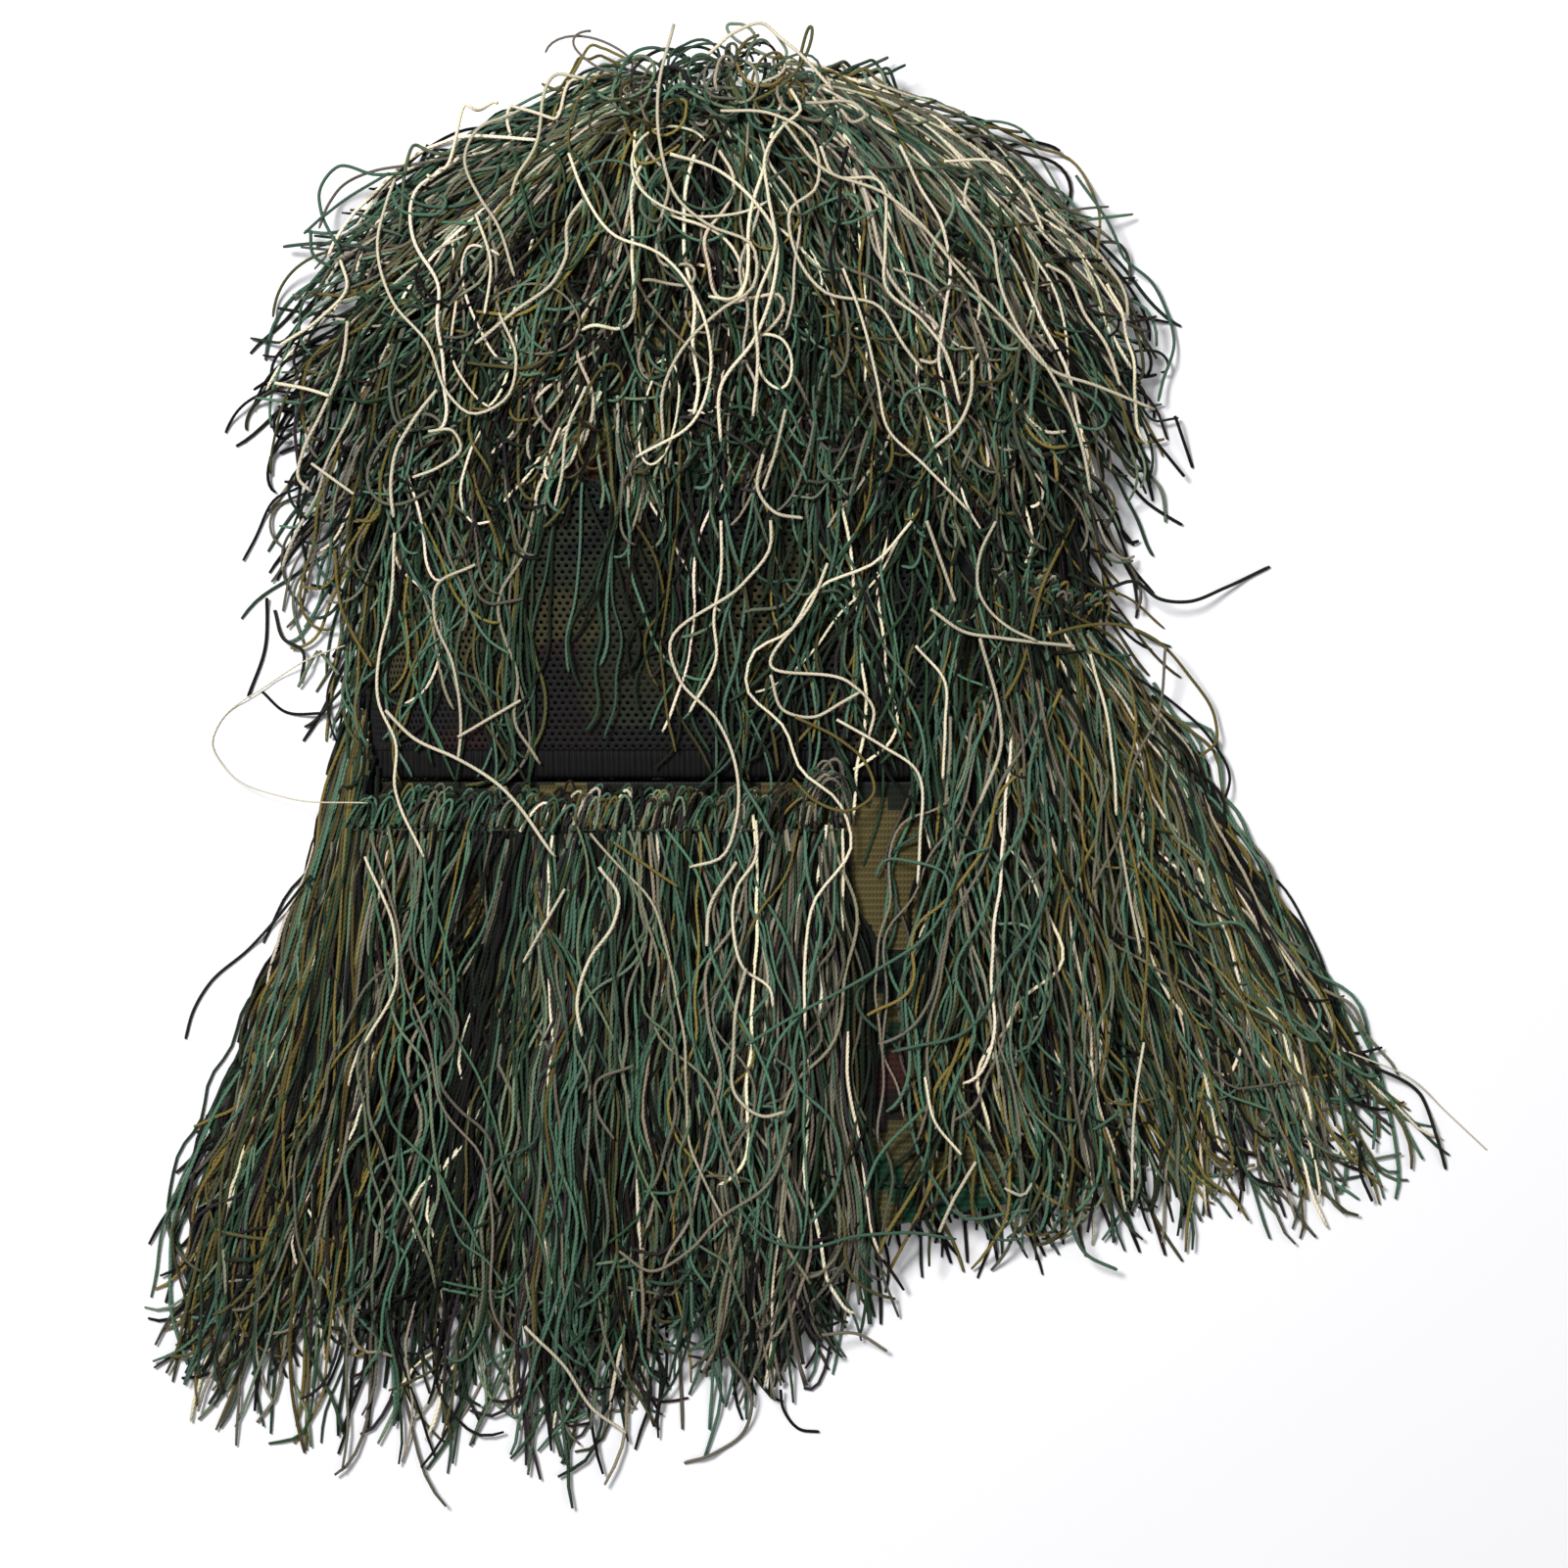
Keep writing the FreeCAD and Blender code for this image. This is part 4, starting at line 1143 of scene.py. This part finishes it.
# Face: sparse on the left, where the net shows, and thick on the right.
face_left = yarn_row(
    "face_yarn_left", 71, None,
    [(-178, 120, -14, -8, 150), (-158, 126, -4, 0, 160), (-128, 128, 2, 2, 165), (-96, 128, -6, -4, 170)], 74,
    FACE_MIX, sway=25, tip=26, fan=9, shorter=0.45, deep=0.0, scatter=(5, 6), places=38,
)
face_right = yarn_row(
    "face_yarn_right", 73, None,
    [
        (-80, 132, 4, 8, 150), (-14, 136, 4, 6, 190), (30, 132, 2, 4, 200), (70, 130, 3, 2, 165),
        (112, 126, 14, 8, 120),
    ],
    190, FACE_MIX, ["face_fringe"], sway=26, tip=20, fan=14, shorter=0.5, deep=0.3, scatter=(6, 9), places=40,
    own=0.6, loft=3.0,
)

# Crown: rows over the dome, each laid over the last, that fan from the
# middle; then the sides, which fall to the table.
CROWN_STYLE = dict(
    sway=27, tip=42, fan=18, lock=7, gather=0.25, shorter=0.42, scatter=(4, 9), own=0.45, places=35, loft=4.0
)
brow_yarn = yarn_row(
    "brow_yarn", 51, HOOD,
    [
        (-174, 140, -40, -14, 118), (-120, 150, -22, -6, 66), (-31, 154, 0, 0, 56), (60, 150, 16, 6, 76),
        (112, 140, 30, 12, 84),
    ],
    300, {**CROWN_MIX, "cream": 1.3}, ["brow_fringe"], **{**CROWN_STYLE, "deep": 0.42},
)
row_low = yarn_row(
    "crown_yarn_low", 53, HOOD,
    [
        (-176, 178, -46, -14, 142), (-120, 190, -32, -10, 98), (-31, 194, 0, 0, 78), (60, 190, 26, 8, 94),
        (114, 178, 42, 12, 96),
    ],
    350, CROWN_MIX, ["crown_fringe_left"], **CROWN_STYLE,
)
row_middle = yarn_row(
    "crown_yarn_middle", 55, HOOD,
    [
        (-160, 208, -62, -20, 116), (-110, 232, -46, -16, 116), (-31, 238, 0, 0, 102),
        (48, 232, 40, 14, 114), (98, 208, 54, 16, 106),
    ],
    360, CROWN_MIX, ["crown_fringe_right"], **CROWN_STYLE,
)
row_top = yarn_row(
    "crown_yarn_top", 57, HOOD,
    [
        (-72, 278, -80, -28, 196), (-66, 270, -60, -20, 170), (-42, 266, -12, -4, 140),
        (-16, 268, 14, 6, 140), (8, 274, 62, 22, 176), (16, 280, 82, 16, 214),
    ],
    390, CROWN_MIX, ["crown_fringe_top"], settle=120, **{**CROWN_STYLE, "places": 38},
)
SWEEP_STYLE = dict(sway=14, tip=20, fan=8, shorter=0.3, deep=0.2, scatter=(9, 3), places=36, settle=125)
sweep_left = yarn_row(
    "crown_sweep_left", 67, HOOD, [(-58, 288, -84, -38, 190), (-62, 276, -70, -32, 178)], 64, SWEEP_MIX,
    **SWEEP_STYLE
)
sweep_right = yarn_row(
    "crown_sweep_right", 69, HOOD, [(-4, 290, 82, 12, 222), (8, 278, 66, 12, 200)], 76, SWEEP_MIX,
    **SWEEP_STYLE
)
cream_over = yarn_row(
    "crown_yarn_cream", 59, HOOD,
    [
        (-84, 272, -76, -30, 170), (-120, 226, -44, -14, 130), (-60, 250, -24, -4, 120),
        (-20, 258, 8, 6, 130), (40, 250, 40, 20, 130), (30, 276, 76, 26, 190), (90, 200, 40, 14, 110),
    ],
    30, CREAM_MIX, sway=30, tip=24, fan=18, shorter=0.45, scatter=(22, 18), deep=0.0, loft=5.0, places=48,
    sides=6, radius=0.7, own=1.0, over=True,
)


def curls(name, seed, centres, radius, rise, turns, mix, replaced=()):
    """Loose rings of yarn: ellipses of one to two turns, each turned its own
    way, whose size and centre drift as they go round and whose height swings
    with them."""
    rng = np.random.default_rng(seed)
    count, places = len(centres), 40
    t = np.linspace(0, 1, places)[None, :] * 2 * np.pi * rng.uniform(0.45, turns, (count, 1))
    ripple = 0.16 * np.sin(t * rng.uniform(1.4, 2.6, (count, 1)) + rng.uniform(0, 6.3, (count, 1)))
    size = radius * rng.uniform(0.5, 1.3, (count, 1))
    size = size * (1 + ripple + 0.12 * t * rng.uniform(-1, 1, (count, 1)))
    flat = rng.uniform(0.35, 1, (count, 1))
    way = rng.uniform(0, np.pi, (count, 1))
    phase = rng.uniform(0, 6.3, (count, 1))
    u, v = size * np.cos(t + phase), size * flat * np.sin(t + phase)
    px = centres[:, :1] + u * np.cos(way) - v * np.sin(way) + rng.normal(0, 1.6, (count, 1)) * t
    py = centres[:, 1:] + u * np.sin(way) + v * np.cos(way) - rng.uniform(0, 2.5, (count, 1)) * t
    py = np.minimum(py, TUFT_TIP)
    thickness = YARN_RADIUS * rng.uniform(0.8, 1.1, count)
    swing = rise * rng.uniform(0, 1, (count, 1)) * (0.5 - 0.5 * np.cos(t))
    z = lay(px, py, thickness, slope=0.3, pack=0.5, bulge=swing)
    return make_strands(name, px, py, z, thickness, dye_and_shade_strands(rng, count, mix), HOOD, 5, replaced)


rng = np.random.default_rng(12)
tuft_centres = np.stack([rng.normal(-38, 20, 64), rng.normal(283, 7, 64)], 1)
crown_tuft = curls("crown_tuft_curls", 65, tuft_centres, 11.0, 12.0, 1.6, CROWN_MIX, ["crown_tuft"])
curl_centres = np.stack([rng.uniform(-165, 115, 44), rng.uniform(130, 250, 44)], 1)
crown_curls = curls("crown_loose_curls", 66, curl_centres, 17.0, 5.0, 0.9, CROWN_MIX)


def stitch_line(name, node_name, body, x, y, z, length=3.2):
    """A row of short thread stitches whose ends dip into the cloth."""
    t = np.linspace(-0.5, 0.5, 5)[None, :]
    px, py = x[:, None] + t * length, y[:, None] + 0 * t
    pz = z[:, None] - 0.7 * (2 * t) ** 4
    count = len(x)
    dye_and_shade = np.tile(linear(SHADES["moss"]), (count, 1))
    piece = make_strands(name, px, py, pz, np.full(count, 0.45), dye_and_shade, body, 5, [node_name], 0.6)
    piece.data.materials[0] = THREAD
    return piece


def cloth_top(x, y):
    wide, rise = hood_section(y)
    return CLOTH_FLOOR + rise * np.sqrt(np.clip(1 - ((x - HOOD_CENTRE) / wide) ** 2, 0, None))


x = np.arange(-180.0, 21.0, 3.9)
y = CHEST_ROW - 1.0 + 0 * x
chest_stitches = stitch_line("chest_stitches", "chest_stitching", CAPE, x, y, pile.at(x, y) + 0.4)
x = np.arange(78.0, 114.0, 3.9)
y = 70 - 0.25 * (x - 78)
shoulder_stitches = stitch_line("shoulder_stitches", "shoulder_stitching", HOOD, x, y, cloth_top(x, y) + 0.5)
x, y = (a.ravel() for a in np.meshgrid(np.arange(-150.0, 90.0, 4.2), [148.0, 192.0, 236.0]))
keep = np.abs(x - HOOD_CENTRE) < hood_section(y)[0] * 0.85
x, y = x[keep], y[keep]
crown_stitches = stitch_line("crown_stitches", "crown_stitching", HOOD, x, y, cloth_top(x, y) + 0.5)

# ---------------------------------------------------------------- loose strands

# Loose strands that lie over the rest: a shade, and for each strand the
# places (X, Y) that it passes.
LOOSE = {
    "cream": [
        [
            (-49, 304), (-55, 276), (-54, 253), (-46, 230), (-35, 221), (-17, 212), (-17, 195), (-30, 186),
            (-43, 174), (-53, 155), (-53, 135),
        ],
        [(-91, 251), (-85, 235), (-73, 217), (-53, 208), (-36, 182), (-34, 161), (-40, 144), (-64, 129)],
        [(-50, 249), (-32, 244), (-17, 231), (-9, 220), (-9, 195), (-16, 176), (-30, 156), (-30, 135)],
        [
            (-2, 276), (2, 267), (-5, 261), (-12, 250), (-11, 234), (-8, 214), (-16, 187), (-15, 168),
            (-17, 145),
        ],
        [
            (-30, 268), (-10, 266), (8, 253), (8, 236), (-2, 227), (-1, 213), (11, 195), (34, 189),
            (43, 174), (51, 164),
        ],
        [(10, 253), (15, 242), (33, 240), (36, 214), (36, 197), (51, 183), (60, 171), (66, 150)],
        [
            (-5, 262), (11, 244), (36, 234), (49, 223), (70, 198), (86, 182), (102, 165), (121, 159),
            (146, 150),
        ],
        [(60, 249), (82, 249), (93, 238), (101, 223)],
        [
            (70, 242), (68, 234), (79, 217), (82, 200), (90, 180), (102, 164), (110, 150), (117, 131),
            (120, 116),
        ],
        [(19, 204), (25, 189), (33, 159), (37, 141), (51, 127), (70, 108)],
        [(71, 168), (70, 152), (64, 140), (56, 133)],
        [(-13, 130), (-15, 116), (-8, 107), (3, 105)],
        [(-4, 148), (-8, 131), (-13, 116)],
        [(-85, 231), (-91, 223), (-92, 209), (-98, 198), (-112, 188), (-129, 175)],
        [(-84, 157), (-92, 138), (-94, 122), (-97, 110)],
        [(-35, 291), (-24, 300), (-13, 304), (-6, 298), (2, 291), (15, 277)],
        [(4, 272), (25, 270), (28, 266), (23, 263), (18, 268)],
        [(-30, 104), (-30, 84), (-33, 64), (-32, 50), (-43, 27)],
        [
            (-10, 104), (-10, 94), (-21, 79), (-51, 53), (-47, 40), (-32, 24), (-24, 4), (-24, -17),
            (-30, -32), (-43, -36),
        ],
        [
            (47, 104), (33, 88), (8, 76), (-2, 60), (-17, 51), (-20, 38), (-4, 20), (2, 4), (18, -10),
            (23, -26), (7, -52), (4, -73), (4, -102),
        ],
        [(13, 87), (7, 72), (-10, 46), (22, 39), (32, 28), (30, 17)],
        [(-10, 42), (-5, 28), (7, 25), (19, 31), (26, 35)],
        [(17, 24), (36, 13), (49, 4), (51, -25), (50, -43)],
        [(53, 104), (59, 88), (65, 72)],
        [(55, 69), (68, 60), (85, 57), (114, 54)],
        [(81, 104), (75, 91), (75, 75), (86, 62), (98, 56)],
        [(75, 57), (83, 28), (84, 16), (75, -10)],
        [(49, 54), (61, 39), (61, 23), (60, 0)],
        [(-24, -34), (-35, -53), (-36, -68)],
        [(-16, -17), (-16, -32), (-24, -45), (-25, -63), (-21, -77), (-10, -86), (-9, -93)],
        [(-20, -77), (-24, -93), (-25, -108), (-24, -129), (-13, -137), (-4, -135)],
        [(-94, -45), (-111, -75)],
        [(-80, -36), (-72, -49), (-74, -59), (-84, -74), (-89, -92), (-87, -105)],
        [(-163, 100), (-166, 69), (-170, 54), (-171, 31), (-164, 15), (-164, -4), (-152, -32)],
        [(-130, 87), (-146, 78), (-147, 66), (-140, 47), (-137, 17), (-138, 8)],
        [(-138, 17), (-112, 32)],
        [(-168, 28), (-157, 17), (-138, 8), (-122, -2), (-98, -32)],
        [(-176, -32), (-164, -62), (-163, -83), (-176, -108)],
        [
            (-163, 244), (-170, 217), (-163, 193), (-148, 175), (-140, 155), (-131, 147), (-116, 153),
            (-112, 168), (-119, 187),
        ],
        [(-112, 272), (-130, 263), (-134, 253), (-127, 234), (-121, 225), (-113, 202)],
        [(-129, 228), (-123, 209), (-125, 187)],
        [(-186, 212), (-183, 201), (-194, 189), (-212, 178)],
        [(-182, 186), (-185, 168), (-194, 149), (-202, 134), (-204, 123), (-199, 118)],
        [(-213, 162), (-199, 159), (-190, 156)],
        [(-145, 157), (-156, 142), (-161, 134), (-164, 118), (-163, 106)],
        [(-148, 140), (-138, 140), (-135, 134), (-144, 126), (-155, 122)],
        [(-198, 129), (-180, 116)],
        [(102, 231), (127, 212), (135, 198), (136, 189)],
        [(102, 209), (110, 205), (118, 190), (128, 175), (133, 161)],
        [(121, 51), (128, 25), (131, 1), (132, -15)],
        [(133, -22), (138, -50), (142, -72)],
        [(144, -109), (140, -131), (139, -155), (139, -174)],
        [(53, -122), (57, -140), (68, -154)],
        [(74, -157), (64, -174), (59, -186)],
        [(-111, -225), (-95, -242), (-84, -260), (-70, -271)],
    ],
    "teal": [
        [(-159, 246), (-171, 246), (-187, 250), (-195, 240), (-194, 232), (-186, 216)],
        [(-165, 246), (-187, 234), (-201, 223)],
        [(-198, 224), (-197, 214), (-189, 209)],
        [(116, 249), (132, 223), (135, 216), (148, 205), (155, 191), (157, 182), (152, 164), (150, 156)],
        [(-23, -174), (-13, -186), (4, -191), (25, -187), (48, -186), (66, -189)],
        [(52, -135), (33, -157), (28, -170)],
        [(112, -181), (120, -196), (133, -203)],
        [(33, -40), (36, -34), (48, -34), (61, -39), (63, -52)],
        [(79, -28), (69, -32), (64, -44), (57, -60), (30, -80), (2, -95), (-20, -108)],
    ],
    "sage": [
        [(-198, 53), (-206, 38)],
        [(-197, 53), (-189, 43)],
    ],
    "mustard": [
        [(102, 58), (116, 62), (132, 63), (148, 57), (162, 43), (174, 24), (174, 15), (167, 9)],
        [(120, 54), (135, 45), (140, 28), (135, -13), (139, -32), (144, -59), (143, -108)],
        [(-189, 94), (-186, 69), (-174, 46)],
        [(0, 25), (18, 16), (29, 6), (32, -6), (22, -13), (8, -9), (-1, 0)],
        [(-74, -26), (-60, -36), (-48, -44)],
    ],
    "taupe": [
        [(152, 54), (150, 28), (139, 6), (135, -18), (122, -45)],
        [(-2, -140), (-10, -163), (-32, -180), (-43, -192), (-60, -201), (-72, -193)],
        [(-66, -117), (-81, -124), (-81, -135), (-74, -147)],
        [(11, -229), (25, -229), (38, -237)],
        [(-28, -238), (-18, -256), (-22, -272), (-34, -280), (-46, -284)],
        [(218, -87), (230, -94), (236, -105)],
    ],
    "black": [
        [(-219, 75), (-220, 54), (-227, 34)],
        [(-221, 36), (-212, 28), (-195, 27)],
        [(139, 43), (157, 31), (173, 15), (180, 0), (178, -8)],
        [(157, 150), (165, 129)],
        [(146, 142), (161, 125)],
        [(-6, -253), (-5, -261), (2, -270), (10, -271)],
        [(234, -150), (234, -163), (239, -175)],
        [(21, 253), (19, 246), (17, 222), (14, 210), (16, 196)],
    ],
    "moss": [
        [(112, 84), (127, 78), (139, 81), (150, 74), (162, 73), (178, 79), (197, 88)],
        [(-216, 70), (-212, 58), (-204, 53), (-205, 40)],
        [(-200, -40), (-227, -71), (-243, -85), (-250, -97), (-253, -108)],
        [(235, -117), (260, -132), (265, -146), (270, -162)],
    ],
}
FINE_LOOSE = [
    [(-186, 55), (-198, 51), (-220, 38), (-239, 23), (-242, 15), (-236, 4), (-209, -8), (-175, -10)],
    [(229, -113), (256, -125), (271, -139), (287, -154)],
]


LOOSE_PLACES = 44


def loose_strands(name, routes, shade, radius, seed):
    """Strands through a few places each, on smooth curves whose stations are
    spaced as the places are, laid over every crest below them."""
    rng = np.random.default_rng(seed)
    plan_x, plan_y = [], []
    for route in routes:
        route = np.array(route, float)
        knots = np.concatenate([[0], np.cumsum(np.hypot(*np.diff(route, axis=0).T))])
        at = np.linspace(0, knots[-1], LOOSE_PLACES)
        plan_x.append(smooth_through(knots, route[:, 0], at))
        plan_y.append(smooth_through(knots, route[:, 1], at))
    px, py = np.array(plan_x), np.array(plan_y)
    sizes = radius * rng.uniform(0.9, 1.1, len(routes))
    z = lay(px, py, sizes, slope=0.3, batch=1, over=True)
    dye_and_shade = np.tile(linear(SHADES[shade]), (len(routes), 1)) * rng.uniform(0.6, 1.1, (len(routes), 1))
    return make_strands(name, px, py, z, sizes, dye_and_shade, None, 6)


loose = [
    loose_strands("loose_%s_yarn" % shade, LOOSE[shade], shade, YARN_RADIUS, 80 + k)
    for k, shade in enumerate(sorted(LOOSE))
]
loose_fine = loose_strands("loose_fine_thread", FINE_LOOSE, "cream", 0.32, 90)

# ---------------------------------------------------------------- table, light, camera

bpy.ops.mesh.primitive_plane_add(size=8, location=(0, 0, -0.0002))
table = bpy.context.object
table.name = "table"
table.data.materials.append(table_material())

VIEW_WIDTH, LENS, SENSOR = 0.6404, 85.0, 36.0
VIEW_CENTRE = (-0.0046, -0.0022)
camera = bpy.data.objects.new("camera", bpy.data.cameras.new("camera"))
camera.data.lens = LENS
camera.data.sensor_width = SENSOR
bpy.context.scene.collection.objects.link(camera)
camera.location = (*VIEW_CENTRE, 0.025 + VIEW_WIDTH * LENS / SENSOR)
bpy.context.scene.camera = camera


def softbox(name, place, aim, size, power):
    light = bpy.data.objects.new(name, bpy.data.lights.new(name, "AREA"))
    light.data.shape = "RECTANGLE"
    light.data.size, light.data.size_y = size
    light.data.energy = power
    light.location = place
    direction = np.array(aim, float) - np.array(place, float)
    pitch = math.acos(-direction[2] / np.linalg.norm(direction))
    light.rotation_mode = "XYZ"
    yaw = math.atan2(direction[1], direction[0])
    light.rotation_euler = (pitch, 0, yaw - math.pi / 2)
    bpy.context.scene.collection.objects.link(light)


softbox("key_softbox", (-0.9, 0.8, 1.9), (0, 0, 0), (0.6, 0.6), 74)
softbox("fill_softbox", (1.3, -0.4, 1.7), (0, 0, 0), (1.6, 1.6), 14)
world = bpy.data.worlds.new("studio")
world.use_nodes = True
world.node_tree.nodes["Background"].inputs[0].default_value = (1.0, 1.0, 1.02, 1)
world.node_tree.nodes["Background"].inputs[1].default_value = 0.24
bpy.context.scene.world = world
bpy.context.scene.view_settings.view_transform = "Standard"
